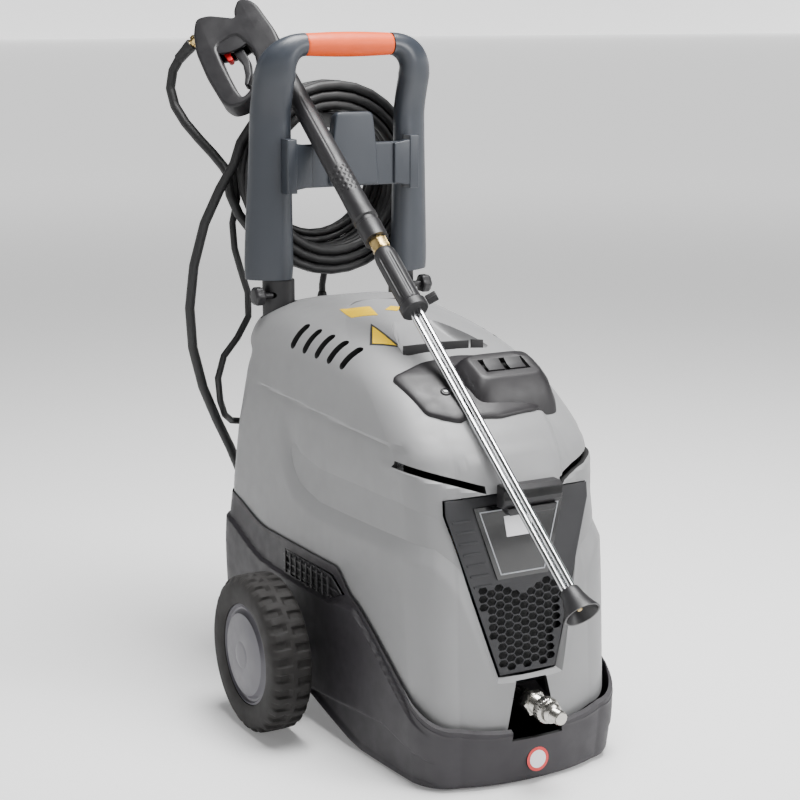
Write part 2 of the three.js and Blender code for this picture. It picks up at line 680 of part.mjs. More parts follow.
function buildGun() {
  const socket = onLance([[0, -70], [15.3, -70], [15.3, 60], [0, 60]]);
  const cheeks = [-11, 11].map((lift) => inGunPlane(GUN.cheek, 5, [], lift));
  const pins = [gunPin(...GUN.triggerPin, 2.5, 26), gunPin(...GUN.latchPin, 1.8, 26)];
  const plateSolid = geometryOf(solid(inGunPlane(GUN.outline, GUN.thick, [GUN.hole])).subtract(solid(socket)));
  add('gun_body', join(plateSolid, ...cheeks, ...pins), material(COLOUR.black, 0.6));
  const trigger = cut(inGunPlane(GUN.trigger, 14), gunPin(...GUN.triggerPin, 2.9, 30));
  add('trigger', trigger, material(COLOUR.black, 0.5));
  const latch = cut(inGunPlane(GUN.latch, 12), gunPin(...GUN.latchPin, 2.2, 30));
  add('safety_latch', latch, material(COLOUR.red, 0.45));
  const inlet = turned([[0, -12], [9, -12], [9, 8], [7, 9], [7, 20], [0, 20]], 'y', 0, 0, 0, 12);
  inlet.applyQuaternion(new THREE.Quaternion().setFromUnitVectors(new THREE.Vector3(0, 1, 0), INLET_DIR));
  const swollen = GUN.outline.map(([s, t]) => [-75 + (s + 75) * 1.006, 50 + (t - 50) * 1.006]);
  add('gun_inlet', cut(inlet.translate(...GUN_INLET.toArray()), inGunPlane(swollen, GUN.thick + 1)),
    material(COLOUR.brass, 0.35, 0.9));
}

const gunPoint = (s, t) => LANCE.start.clone().addScaledVector(LANCE.dir, s).addScaledVector(LANCE.side, t);
const INLET_DIR = LANCE.side.clone().addScaledVector(LANCE.normal, 0.5).normalize();
const GUN_INLET = gunPoint(-151, 92).addScaledVector(INLET_DIR, 2);

function buildLance() {
  const grip = [[0, -69.5], [15, -69.5], [15, 0], [16.5, 20], [17, 300], [19, 314], [16, 315], [16, 322],
    [18, 324], [18, 354], [0, 354]];
  add('lance_grip', onLance(grip), material(COLOUR.black, 0.6));
  const nut = [[0, 354.3], [12.5, 354.3], [13.5, 358], [13.5, 374], [0, 376]];
  add('lance_coupling', onLance(nut, 12), material(COLOUR.brass, 0.35, 0.9));
  const sheath = [[0, 376.3], [14, 376.3], [16.5, 384], [17, 474], [20, 478], [20, 491], [0, 491]];
  add('pressure_sleeve', onLance(sheath), material(COLOUR.black, 0.6));
  const valve = new THREE.CylinderGeometry(7, 7, 16, 12).rotateZ(Math.PI / 2).translate(28.6, 484, 0);
  add('valve_knob', alongLance(valve), material(COLOUR.black, 0.6));
  for (const [which, offset, end] of [['main', -5.2, 966], ['bypass', 5.2, 966]]) {
    const tube = new THREE.CylinderGeometry(4.6, 4.6, end - 491.3, 10);
    tube.translate(offset, (end + 491.3) / 2, 0);
    add(`lance_tube_${which}`, alongLance(tube), material(COLOUR.steel, 0.25, 1));
  }
  const guard = [[0, 966.3], [13, 966.3], [15, 972], [25, 1004], [22, 1004], [12, 985], [0, 985]];
  add('nozzle_guard', onLance(guard), material(COLOUR.black, 0.6));
  const nozzle = [[0, 985.3], [6, 985.3], [6, 994], [3, 997], [0, 997]];
  add('nozzle_tip', onLance(nozzle, 12), material(COLOUR.brass, 0.35, 0.9));
}

// ---------------------------------------------------------------- water inlet and outlets
function buildInlet() {
  const y = -318;
  const body = [[0, 0], [11, 0], [11, 34], [17, 34], [17, 46], [14, 48], [14, 62], [0, 62]];
  const place = (profile, sides) => outward(turned(profile, 'y', 0, 0, 0, sides).rotateX(Math.PI)
    .translate(0, y, 111));
  add('inlet_fitting', place(body, 18), material(COLOUR.nickel, 0.35, 0.9));
  const collar = [[0, 62.3], [16, 62.3], [18, 65], [18, 76], [14, 79], [14, 88], [10, 89], [10, 108], [0, 108]];
  add('inlet_coupling', place(collar, 18), material(COLOUR.nickel, 0.35, 0.9));
}

function buildOutlets() {
  const outlet = [[0, 0], [13, 0], [13, 12], [10.4, 13], [10.4, 46], [8.5, 47], [8.5, 64], [0, 64]];
  add('pressure_outlet', outward(turned(outlet, 'y', -66, 252, 178, 16)), material(COLOUR.brass, 0.35, 0.9));
  const gland = [[0, 0], [16, 0], [16, 12], [12.4, 12.3], [12.4, 34], [9.5, 38], [6.6, 72], [0, 72]];
  add('lead_gland', outward(turned(gland, 'y', -104, 250, 372, 14)), material(COLOUR.black, 0.7));
  const cap = [[0, 0], [20, 0], [20, 26], [29, 26.3], [29, 38], [26, 41], [0, 41]];
  add('fuel_cap', outward(turned(cap, 'y', 92, 267, 220, 18)), material(COLOUR.red, 0.5));
}

// ---------------------------------------------------------------- working parts inside
function buildInside() {
  const iron = material(COLOUR.iron, 0.5, 0.8);
  const shaftBore = rod(9.3, 300, 'y', 78, -176, 196, 16);
  const motor = join(rod(56, 168, 'y', 78, -176, 196, 20), box(90, 120, 60, 78, -176, 118));
  add('motor', cut(motor, shaftBore), material(COLOUR.tank, 0.5, 0.3));
  const fan = turned([[0, 0], [44, 0], [44, 14], [0, 16]], 'y', 78, -284, 196, 14);
  add('motor_rotor', join(rod(9, 216, 'y', 78, -170, 196, 16), fan), material(COLOUR.steel, 0.3, 1));
  const pump = join(box(84, 62, 84, 78, -28, 196), box(76, 36, 92, 78, 21, 196));
  add('pump', pump, material(COLOUR.brass, 0.45, 0.8));
  const drum = [[66, 0], [78, 0], [78, 300], [66, 300], [66, 0]];
  add('boiler_drum', outward(turned(drum, 'z', -62, -60, 180, 28)), material(COLOUR.steel, 0.45, 0.8));
  const flue = [[30, 0], [35, 0], [35, 62], [30, 62], [30, 0]];
  add('flue_duct', outward(turned(flue, 'z', 0, -48, 480.5, 20)), material(COLOUR.steel, 0.5, 0.8));
  const blower = join(rod(50, 56, 'y', -62, -196, 244, 20), rod(24, 40, 'y', -62, -158.5, 244, 20));
  add('burner_blower', blower, iron);
  add('fuel_tank', box(150, 92, 130, 0, 136, 150), material(COLOUR.tank, 0.7));
  add('detergent_tank', box(96, 90, 190, 92, 20, 400), material(COLOUR.white, 0.7));
  add('electric_box', box(110, 60, 70, 24, -190, 400), material(COLOUR.black, 0.6));
  const braceHoles = [-1, 1].map((sign) => legSection(sign, 0.4).translate(0, 0, 300));
  add('leg_brace', cut(box(290, 56, 24, 0, LEG.y, 420), ...braceHoles), material(COLOUR.iron, 0.6, 0.5));
}

// ---------------------------------------------------------------- cords
// Points that the free cords pass, from one end to the other.
const RISER_ROUTE = [[-66, 316.4, 178], [-66, 330, 178], [-68, 348, 181], [-74, 366, 196], [-88, 371, 230],
  [-110, 358, 280], [-139, 336, 335], [-168, 322, 388], [-194, 312, 444], [-213, 304, 510], [-219, 298, 574], [-213, 292, 640],
  [-196, 287, 705], [-171, 283, 757], [-147, 281, 795]];
const WHIP_ROUTE = [[-171, 429, 954], [-181, 438, 932], [-186, 438, 905], [-184, 426, 878], [-176, 403, 852],
  [-166, 372, 828], [-157, 340, 807], [-151, 314, 789], [-149, 303, 780]];
const LEAD_ROUTE = [[-104, 322.3, 372], [-104, 338, 372], [-112, 350, 373], [-132, 346, 377], [-151, 328, 392],
  [-166, 310, 420], [-172, 303, 458], [-162, 301, 493], [-138, 302, 520], [-117, 305, 552], [-116, 308, 590],
  [-125, 311, 622], [-135, 313, 660], [-138, 313, 700], [-129, 313, 738]];
const TAIL_ROUTE = [[74, 313, 660.5], [50, 313, 647.5], [32, 313.5, 632], [22, 315, 610], [19, 316, 592],
  [19, 316, 582]];

function ringSolid(coil) {
  const a = coil.mean - coil.wall / 2;
  const b = coil.mean + coil.wall / 2;
  const d = coil.depth / 2;
  const c = 6;
  const profile = [[a, -d + c], [a + c, -d], [b - c, -d], [b, -d + c], [b, d - c], [b - c, d], [a + c, d],
    [a, d - c], [a, -d + c]];
  return outward(turned(profile, 'y', coil.x, coil.y, coil.z, 28));
}

function buildCords() {
  const rubber = () => material(COLOUR.black, 0.75);
  add('hose_coil', ringSolid(COIL), rubber());
  add('lead_coil', ringSolid(LEAD_COIL), rubber());
  const whip = [GUN_INLET.clone().addScaledVector(INLET_DIR, 20.4).toArray(), ...WHIP_ROUTE];
  add('hose_whip', outward(pipe(whip, HOSE / 2, 10, 22)), rubber());
  add('hose_riser', outward(pipe(RISER_ROUTE, HOSE / 2, 10, 32)), rubber());
  add('lead_riser', outward(pipe(LEAD_ROUTE, LEAD / 2, 8, 34)), rubber());
  add('lead_tail', outward(pipe(TAIL_ROUTE, LEAD / 2, 8, 10)), rubber());
  const [x, y, top] = TAIL_ROUTE.at(-1);
  const body = [[0, 0], [13, 0], [19, 6], [19, 30], [11, 40], [6.4, 70], [0, 70]];
  const grip = turned(body, 'z', x, y, top - 70.3, 14);
  const pins = [-9, 9].map((offset) => rod(2.4, 20, 'z', x + offset, y, top - 79.3, 10));
  add('mains_plug', join(outward(grip), ...pins), rubber());
}

buildBase();
buildFeet();
buildSideGrilles();
buildHood();
buildRecessPan();
buildFrontPanel();
buildLanceRest();
buildControlCap();
buildRockers();
buildWheels();
buildHandle();
buildLegs();
buildHookBracket();
buildGun();
buildLance();
buildInlet();
buildOutlets();
buildInside();
buildCords();

// The origin is on the floor, under the middle of the machine's plan box, cords left out.
const CORD_NODES = ['hose_coil', 'lead_coil', 'hose_whip', 'hose_riser', 'lead_riser', 'lead_tail', 'mains_plug'];
const extent = new THREE.Box3();
for (const mesh of machine.children) {
  if (!CORD_NODES.includes(mesh.name)) extent.expandByObject(mesh, true);
}
const middle = extent.getCenter(new THREE.Vector3());
machine.position.set(-middle.x, -middle.y, -extent.min.z);

export default machine;
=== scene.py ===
"""Looks of a wheeled hot-water pressure washer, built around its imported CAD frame."""
import math

import bmesh
import bpy
import numpy as np
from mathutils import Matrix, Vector
from mathutils.bvhtree import BVHTree


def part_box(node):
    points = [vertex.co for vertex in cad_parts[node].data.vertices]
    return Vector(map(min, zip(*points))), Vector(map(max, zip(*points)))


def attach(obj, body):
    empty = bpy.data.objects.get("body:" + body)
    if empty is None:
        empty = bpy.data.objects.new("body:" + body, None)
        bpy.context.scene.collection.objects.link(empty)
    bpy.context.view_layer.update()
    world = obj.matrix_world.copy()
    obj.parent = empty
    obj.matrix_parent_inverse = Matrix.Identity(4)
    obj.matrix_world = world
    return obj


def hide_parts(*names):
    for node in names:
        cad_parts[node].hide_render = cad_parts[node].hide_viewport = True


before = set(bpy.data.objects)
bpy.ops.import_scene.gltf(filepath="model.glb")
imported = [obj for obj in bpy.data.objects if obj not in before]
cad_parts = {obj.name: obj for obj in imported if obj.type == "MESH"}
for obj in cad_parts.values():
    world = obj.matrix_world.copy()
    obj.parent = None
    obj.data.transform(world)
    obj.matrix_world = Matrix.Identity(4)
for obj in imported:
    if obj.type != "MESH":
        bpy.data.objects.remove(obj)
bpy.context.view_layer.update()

# ------------------------------------------------------------------ units and places
# Shapes are drawn in machine millimetres: X across, Y to the rear, Z up from the floor, with the axle
# at AXLE_Y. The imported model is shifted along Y, by the amount that the axle's box tells.
MM = 0.001
AXLE_Y, AXLE_Z = -8.0, 115.0
axle_low, axle_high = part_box("axle")
SHIFT = (axle_low.y + axle_high.y) / 2 - AXLE_Y * MM
scene = bpy.context.scene


def row(points):
    """Machine millimetres to the frame's metres."""
    p = np.asarray(points, float) * MM
    p[..., 1] += SHIFT
    return p


def unit(v):
    v = np.asarray(v, float)
    return v / np.linalg.norm(v)


def smooth(a, b, x):
    t = np.clip((np.asarray(x, float) - a) / (b - a), 0, 1)
    return t * t * (3 - 2 * t)


# ------------------------------------------------------------------ camera, floor and light
CAMERA = {"azimuth": -28.7, "elevation": 12.08, "distance": 2727.1, "target": (0, 19.1, 458.4), "lens": 82.4}


def add_camera():
    a, e = math.radians(CAMERA["azimuth"]), math.radians(CAMERA["elevation"])
    back = np.array([math.sin(a) * math.cos(e), -math.cos(a) * math.cos(e), math.sin(e)])
    data = bpy.data.cameras.new("camera")
    data.lens = CAMERA["lens"]
    data.sensor_width = 36
    data.clip_end = 300
    camera = bpy.data.objects.new("camera", data)
    scene.collection.objects.link(camera)
    camera.location = row(np.array(CAMERA["target"]) + back * CAMERA["distance"])
    camera.rotation_euler = Vector(-back).to_track_quat("-Z", "Y").to_euler()
    scene.camera = camera


def add_area(name, location, target, size, power):
    data = bpy.data.lights.new(name, "AREA")
    data.shape = "RECTANGLE"
    data.size, data.size_y = size
    data.energy = power
    lamp = bpy.data.objects.new(name, data)
    scene.collection.objects.link(lamp)
    lamp.location = location
    lamp.rotation_euler = (Vector(target) - Vector(location)).to_track_quat("-Z", "Y").to_euler()


def add_node(nodes, kind, values):
    """New shader node with values for its inputs."""
    made = nodes.new(kind)
    for key, value in values.items():
        made.inputs[key].default_value = value
    return made


FLOOR_HALF, FLOOR_WALL = 60.0, 9.0
FLOOR_GLOW = {"From Min": 1.5, "From Max": 9.0, "To Min": 0.17, "To Max": 0.95}


def add_floor():
    """White floor with a low wall far away; its glow grows with the distance from the machine."""
    half = FLOOR_HALF
    corners = [(-half, -half, 0), (half, -half, 0), (half, half, 0), (-half, half, 0)]
    corners += [(x, y, FLOOR_WALL) for x, y, _ in corners]
    walls = [(k, k + 4, (k + 1) % 4 + 4, (k + 1) % 4) for k in range(4)]
    floor = bpy.data.meshes.new("floor")
    floor.from_pydata(corners, [], [(0, 1, 2, 3), *walls])
    paint = bpy.data.materials.new("floor_paint")
    paint.use_nodes = True
    nodes, links = paint.node_tree.nodes, paint.node_tree.links
    shader = nodes["Principled BSDF"]
    shader.inputs["Base Color"].default_value = (0.85, 0.85, 0.85, 1)
    shader.inputs["Roughness"].default_value = 0.9
    shader.inputs["Emission Color"].default_value = (1, 1, 1, 1)
    place = nodes.new("ShaderNodeNewGeometry")
    reach = nodes.new("ShaderNodeVectorMath")
    reach.operation = "LENGTH"
    ramp = add_node(nodes, "ShaderNodeMapRange", FLOOR_GLOW)
    ramp.interpolation_type = "SMOOTHSTEP"
    links.new(place.outputs["Position"], reach.inputs[0])
    links.new(reach.outputs["Value"], ramp.inputs["Value"])
    links.new(ramp.outputs["Result"], shader.inputs["Emission Strength"])
    floor.materials.append(paint)
    ground = bpy.data.objects.new("floor", floor)
    scene.collection.objects.link(ground)


def add_studio():
    world = bpy.data.worlds.new("studio")
    scene.world = world
    world.use_nodes = True
    background = world.node_tree.nodes["Background"]
    background.inputs["Color"].default_value = (1.0, 1.0, 1.0, 1)
    background.inputs["Strength"].default_value = 0.12
    add_area("overhead", (0.3, -0.3, 3.3), (0, 0, 0.4), (1.8, 1.8), 270)
    add_area("front_fill", (2.0, -2.8, 1.9), (0, 0, 0.4), (1.4, 1.4), 85)
    add_area("left_rim", (-2.8, 1.4, 1.7), (0, 0, 0.5), (0.9, 1.9), 6)
    add_floor()


# ------------------------------------------------------------------ materials
WEAR = 0.08
PATCH = 14


def finish_material(name, colour, roughness, metallic, grain, bump, mottle, coat=0.0):
    """Principled finish: fine grain in the bump, soft mottling in the colour, uneven roughness."""
    made = bpy.data.materials.new(name)
    made.use_nodes = True
    nodes, links = made.node_tree.nodes, made.node_tree.links
    shader = nodes["Principled BSDF"]
    shader.inputs["Metallic"].default_value = metallic
    if coat:
        shader.inputs["Coat Weight"].default_value = coat
        shader.inputs["Coat Roughness"].default_value = 0.12
    place = nodes.new("ShaderNodeTexCoord")

    def noise(scale, detail):
        node = add_node(nodes, "ShaderNodeTexNoise", {"Scale": scale, "Detail": detail})
        links.new(place.outputs["Object"], node.inputs["Vector"])
        return node.outputs["Fac"]

    ramp = nodes.new("ShaderNodeValToRGB")
    for stop, position, change in zip(ramp.color_ramp.elements, (0.3, 0.7), (1 - mottle, 1 + mottle)):
        stop.position = position
        stop.color = (*[min(1, c * change) for c in colour], 1)
    links.new(noise(PATCH, 3), ramp.inputs["Fac"])
    links.new(ramp.outputs["Color"], shader.inputs["Base Color"])
    spread = add_node(nodes, "ShaderNodeMapRange", {
        "From Min": 0.25, "From Max": 0.75,
        "To Min": max(0.02, roughness - WEAR), "To Max": min(1.0, roughness + WEAR)})
    links.new(noise(PATCH * 3.1, 4), spread.inputs["Value"])
    links.new(spread.outputs["Result"], shader.inputs["Roughness"])
    relief = add_node(nodes, "ShaderNodeBump", {"Strength": bump, "Distance": 0.0006})
    links.new(noise(grain, 2), relief.inputs["Height"])
    links.new(relief.outputs["Normal"], shader.inputs["Normal"])
    return made


# look: material, slot, colour, roughness, metallic, grain scale, bump, mottle, and coat if any
FINISHES = {
    "hood": ("hood_plastic", "hood_shell", (0.225, 0.226, 0.229), 0.46, 0, 1500, 0.10, 0.02),
    "base": ("base_plastic", "base_shell", (0.0165, 0.0142, 0.0178), 0.54, 0, 1300, 0.16, 0.05),
    "frame": ("frame_plastic", "frame_plastic", (0.030, 0.035, 0.044), 0.36, 0, 1400, 0.12, 0.04),
    "grip": ("grip_orange", "grip_plastic", (0.72, 0.075, 0.0), 0.5, 0, 900, 0.25, 0.05),
    "black": ("black_plastic", "black_plastic", (0.010, 0.0095, 0.0108), 0.46, 0, 1300, 0.16, 0.1),
    "cap": ("cap_plastic", "black_plastic", (0.0095, 0.0082, 0.0098), 0.47, 0, 1500, 0.10, 0.08),
    "panel": ("panel_plastic", "black_plastic", (0.0085, 0.0085, 0.0108), 0.48, 0, 1200, 0.14, 0.1),
    "gloss": ("gloss_plate", "gloss_panel", (0.006, 0.006, 0.0065), 0.16, 0, 400, 0.01, 0.06, 0.6),
    # dark: near-black painted shade; boolean cuts carry it onto the walls of holes, slots and grooves, and it
    # colours the sheet behind the front panel's honeycomb
    "dark": ("dark_inside", "black_plastic", (0.004, 0.004, 0.0042), 0.8, 0, 500, 0.1, 0.06),
    "rubber": ("soft_rubber", "soft_rubber", (0.008, 0.008, 0.0085), 0.55, 0, 900, 0.22, 0.12),
    "tyre": ("tyre_rubber", "tyre_rubber", (0.0105, 0.0092, 0.0085), 0.78, 0, 700, 0.35, 0.18),
    "hub": ("hub_plastic", "hub_plastic", (0.080, 0.077, 0.090), 0.4, 0, 1200, 0.10, 0.04),
    "nickel": ("nickel", "nickel", (0.50, 0.485, 0.45), 0.26, 1.0, 500, 0.08, 0.1),
    "brass": ("brass", "brass", (0.55, 0.40, 0.17), 0.28, 1.0, 600, 0.08, 0.1),
    "steel": ("steel_tube", "steel", (0.62, 0.63, 0.64), 0.2, 1.0, 900, 0.06, 0.06),
    "red": ("red_plastic", "red_plastic", (0.55, 0.012, 0.016), 0.4, 0, 900, 0.1, 0.06),
    "tank": ("tank_plastic", None, (0.46, 0.46, 0.47), 0.55, 0, 500, 0.2, 0.06),
    "iron": ("cast_iron", None, (0.10, 0.105, 0.11), 0.6, 0.6, 300, 0.5, 0.15),
    "yellow": ("yellow_film", "hood_shell", (0.72, 0.46, 0.0), 0.4, 0, 700, 0.03, 0.03),
    "white": ("white_film", "base_shell", (0.78, 0.78, 0.8), 0.38, 0, 700, 0.03, 0.02),
    "silver": ("silver_line", "gloss_panel", (0.30, 0.31, 0.33), 0.35, 0.4, 700, 0.03, 0.06),
    "edge": ("label_edge", "hood_shell", (0.02, 0.02, 0.02), 0.4, 0, 700, 0.03, 0.06),
    "ring_red": ("red_film", "base_shell", (0.62, 0.03, 0.03), 0.4, 0, 700, 0.03, 0.06),
}
LOOKS = {look: finish_material(name, *values) for look, (name, _, *values) in FINISHES.items()}


# ------------------------------------------------------------------ mesh helpers
def shade(mesh, angle):
    """Smooth shading, with edges over the angle kept sharp."""
    mesh.shade_smooth()
    mesh.set_sharp_from_angle(angle=math.radians(angle))


def mesh_piece(name, points, faces, look, sharp=35):
    mesh = bpy.data.meshes.new(name)
    mesh.from_pydata([tuple(p) for p in row(points)], [], [tuple(int(i) for i in f) for f in faces])
    mesh.validate()
    mesh.materials.append(LOOKS[look])
    shade(mesh, sharp)
    piece = bpy.data.objects.new(name, mesh)
    scene.collection.objects.link(piece)
    return piece


def ring_faces(rings, count):
    """Quads between consecutive rings of count points."""
    faces = []
    for r in range(rings - 1):
        a, b = r * count, (r + 1) * count
        faces += [(a + i, a + (i + 1) % count, b + (i + 1) % count, b + i) for i in range(count)]
    return faces


def ladder_faces(count, base, flip):
    """Closes a ring that is symmetric about its first point with bars between mirrored points."""
    faces = []
    for i in range(count // 2):
        loop = [i, i + 1, (count - i - 1) % count, (count - i) % count]
        loop = [k for n, k in enumerate(loop) if k not in loop[:n]]
        if len(loop) > 2:
            faces.append(tuple(base + k for k in (reversed(loop) if flip else loop)))
    return faces


def orient(piece, weld=None):
    """Turns the faces outwards; points closer than weld metres are merged first."""
    work = bmesh.new()
    work.from_mesh(piece.data)
    if weld:
        bmesh.ops.remove_doubles(work, verts=work.verts, dist=weld)
    bmesh.ops.recalc_face_normals(work, faces=work.faces)
    work.to_mesh(piece.data)
    work.free()
    return piece


def ring_piece(name, rings, look, sharp=35):
    """Closed piece through rings of points, with a flat cap at each end."""
    count = len(rings[0])
    total = count * len(rings)
    faces = ring_faces(len(rings), count)
    faces += [tuple(range(count)), tuple(range(total - 1, total - count - 1, -1))]
    return orient(mesh_piece(name, np.vstack(rings), faces, look, sharp))


def axes_for(direction):
    """Two axes across a direction, and the direction itself."""
    w = unit(direction)
    hint = np.array([1.0, 0, 0]) if abs(w[2]) > 0.95 else np.array([0, 0, 1.0])
    u = unit(np.cross(hint, w))
    return u, np.cross(w, u), w


def lathe(name, profile, origin, direction, look, sides=64, sharp=35, shape=None):
    """Turned piece. profile holds (radius, height); a radius of 0 closes an end. shape(angle, radius,
    height) may return a new radius, for flats, lobes and knurls."""
    u, v, w = axes_for(direction)
    origin = np.asarray(origin, float)
    points, index = [], []
    for r, h in profile:
        if r <= 0:
            index.append([len(points)])
            points.append(origin + w * h)
            continue
        loop = []
        for k in range(sides):
            a = 2 * math.pi * k / sides
            q = shape(a, r, h) if shape else r
            loop.append(len(points))
            points.append(origin + u * q * math.cos(a) + v * q * math.sin(a) + w * h)
        index.append(loop)
    faces = []
    for a, b in zip(index, index[1:]):
        for k in range(sides):
            j = (k + 1) % sides
            if len(a) == 1 and len(b) == 1:
                break
            if len(a) == 1:
                faces.append((a[0], b[j], b[k]))
            elif len(b) == 1:
                faces.append((a[k], a[j], b[0]))
            else:
                faces.append((a[k], a[j], b[j], b[k]))
    if len(index[0]) > 1 and profile[0] == profile[-1]:
        last = index[-1]
        swap = dict(zip(last, index[0]))
        faces = [tuple(swap.get(i, i) for i in f) for f in faces]
    return orient(mesh_piece(name, points, faces, look, sharp))


def rod(name, radius, low, high, origin, direction, look="dark", sides=32):
    """Plain cylinder between two places along its axis, also used for cutting."""
    return lathe(name, [(0, low), (radius, low), (radius, high), (0, high)], origin, direction, look, sides)


def threads(start, end, pitch, first, second):
    """Zigzag profile of a thread that begins and ends at the first radius."""
    halves = 2 * round((end - start) / pitch)
    return [(second if k % 2 else first, start + (end - start) * k / halves) for k in range(halves + 1)]


def hexed(low, high, size, scale=0.93):
    """Shape for lathe: six flats where the height lies between low and high and the radius is over size."""
    def shape(angle, radius, height):
        if low < height < high and radius > size:
            return radius * scale / math.cos((angle % (math.pi / 3)) - math.pi / 6)
        return radius
    return shape


def curve(a, corner, b, steps):
    """Quadratic curve from a to b, drawn towards the corner."""
    shares = [k / steps for k in range(steps + 1)]
    return [tuple((1 - t) ** 2 * a + 2 * t * (1 - t) * corner + t * t * b) for t in shares]


def rounded(profile, amount, steps=4):
    """Profile with its inner corners rounded."""
    points = [np.array(p, float) for p in profile]
    out = [tuple(points[0])]
    for before, here, after in zip(points, points[1:], points[2:]):
        a, b = before - here, after - here
        cut = min(amount, np.linalg.norm(a) * 0.45, np.linalg.norm(b) * 0.45)
        out += curve(here + unit(a) * cut, here, here + unit(b) * cut, steps)
    out.append(tuple(points[-1]))
    return out


def softened(outline, cut, steps=4):
    """Closed outline with rounded corners; cut is one length, or a list with one per corner."""
    points = [np.array(p, float) for p in outline]
    count = len(points)
    cuts = cut if isinstance(cut, list) else [cut] * count
    ring = []
    for i, here in enumerate(points):
        before, after = points[i - 1], points[(i + 1) % count]
        reach = min(cuts[i], np.linalg.norm(before - here) * 0.42, np.linalg.norm(after - here) * 0.42)
        ring += curve(here + unit(before - here) * reach, here, here + unit(after - here) * reach, steps)
    return ring


def oval(a, b, sides, exponent=1.0):
    """Superellipse with half sizes a and b; an exponent under 1 makes it squarer."""
    ring = []
    for k in range(sides):
        t = 2 * math.pi * k / sides
        c, s = math.cos(t), math.sin(t)
        ring.append((a * math.copysign(abs(c) ** exponent, c), b * math.copysign(abs(s) ** exponent, s)))
    return ring


def sweep(name, stations, look, sides, power, sharp=40):
    """Piece through superellipses: stations hold (centre, main axis, second axis, a, b)."""
    rings = [[centre + main * x + second * y for x, y in oval(a, b, sides, 2 / power)]
             for centre, main, second, a, b in stations]
    return ring_piece(name, rings, look, sharp)


# right and up of plates that are seen from the front, and from the side
UPRIGHT = ((1, 0, 0), (0, 0, 1))
SIDEWAYS = ((0, 1, 0), (0, 0, 1))


def outline_plate(name, outline, origin, right, up, thick, look, holes=(), bevel=1.0, steps=3, sharp=35):
    """Flat piece with rounded edges: an outline with holes, drawn in the plane of right and up, and
    thick both ways about it."""
    data = bpy.data.curves.new(name + "_outline", "CURVE")
    data.dimensions = "2D"
    data.fill_mode = "BOTH"
    data.extrude = (thick / 2 - bevel) * MM
    data.bevel_depth = bevel * MM
    data.bevel_resolution = steps
    data.offset = -bevel * MM
    for loop in [outline, *holes]:
        spline = data.splines.new("POLY")
        spline.points.add(len(loop) - 1)
        for point, (x, y) in zip(spline.points, loop):
            point.co = (x * MM, y * MM, 0, 1)
        spline.use_cyclic_u = True
    temporary = bpy.data.objects.new(name + "_outline", data)
    scene.collection.objects.link(temporary)
    bpy.context.view_layer.update()
    evaluated = temporary.evaluated_get(bpy.context.evaluated_depsgraph_get())
    mesh = bpy.data.meshes.new_from_object(evaluated)
    bpy.data.objects.remove(temporary)
    flat = np.array([v.co for v in mesh.vertices]).reshape(-1, 3)
    right, up = unit(right), unit(up)
    normal = np.cross(right, up)
    base = row(origin)
    placed = base + flat[:, :1] * right + flat[:, 1:2] * up + flat[:, 2:] * normal
    mesh.vertices.foreach_set("co", placed.ravel())
    mesh.materials.clear()
    mesh.materials.append(LOOKS[look])
    piece = bpy.data.objects.new(name, mesh)
    scene.collection.objects.link(piece)
    orient(piece, 2e-6)
    shade(mesh, sharp)
    return piece


def box_tool(name, size, centre, axes=((1, 0, 0), (0, 1, 0), (0, 0, 1))):
    """Block with full sizes along three axes."""
    corners = [(x, y, z) for x in (-1, 1) for y in (-1, 1) for z in (-1, 1)]
    half = np.array(size, float) / 2
    points = [np.array(centre, float) + sum(c * h * np.array(a, float) for c, h, a in zip(p, half, axes))
              for p in corners]
    faces = [(0, 1, 3, 2), (4, 6, 7, 5), (0, 4, 5, 1), (2, 3, 7, 6), (0, 2, 6, 4), (1, 5, 7, 3)]
    return orient(mesh_piece(name, points, faces, "dark"))


def prism_tool(name, low, high, look="dark"):
    """Block between two outlines with the same number of points."""
    return ring_piece(name, [low, high], look)


def join(pieces):
    """Makes one object of several; the first one stays."""
    context = {"active_object": pieces[0], "selected_editable_objects": pieces, "object": pieces[0]}
    with bpy.context.temp_override(**context):
        bpy.ops.object.join()
    return pieces[0]


def apply_modifiers(piece):
    """Replaces the mesh by its modified form."""
    evaluated = piece.evaluated_get(bpy.context.evaluated_depsgraph_get())
    mesh = bpy.data.meshes.new_from_object(evaluated)
    piece.modifiers.clear()
    piece.data = mesh


def boolean(piece, tools, operation="DIFFERENCE", sharp=30):
    """Cuts with all tools at once; tools that overlap each other are handled by the exact solver."""
    tool = join(tools) if len(tools) > 1 else tools[0]
    modifier = piece.modifiers.new("cut", "BOOLEAN")
    modifier.object = tool
    modifier.operation = operation
    modifier.solver = "EXACT"
    modifier.use_self = len(tools) > 1
    # cut walls take the tool's material, so tools in the dark look paint near-black shade into holes, slots
    # and grooves
    modifier.material_mode = "TRANSFER"
    bpy.context.view_layer.update()
    apply_modifiers(piece)
    bpy.data.objects.remove(tool)
    shade(piece.data, sharp)


def bevelled(piece, width, angle=35):
    """Rounds edges sharper than the angle, by a width in millimetres."""
    modifier = piece.modifiers.new("bevel", "BEVEL")
    modifier.width = width * MM
    modifier.segments = 2
    modifier.limit_method = "ANGLE"
    modifier.angle_limit = math.radians(angle)
    modifier.harden_normals = False
    bpy.context.view_layer.update()
    apply_modifiers(piece)
    shade(piece.data, 50)


def keep(piece, body="machine", nodes=None):
    """Rides on its body. A piece called NODE_fine replaces that node unless other nodes are named."""
    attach(piece, body)
    if nodes is None and piece.name.endswith("_fine"):
        nodes = [piece.name.removesuffix("_fine")]
    if nodes:
        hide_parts(*nodes)


def carried(node, look):
    """A CAD node whose shape is right: it gets a finer material."""
    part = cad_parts[node]
    part.data.materials.clear()
    part.data.materials.append(LOOKS[look])


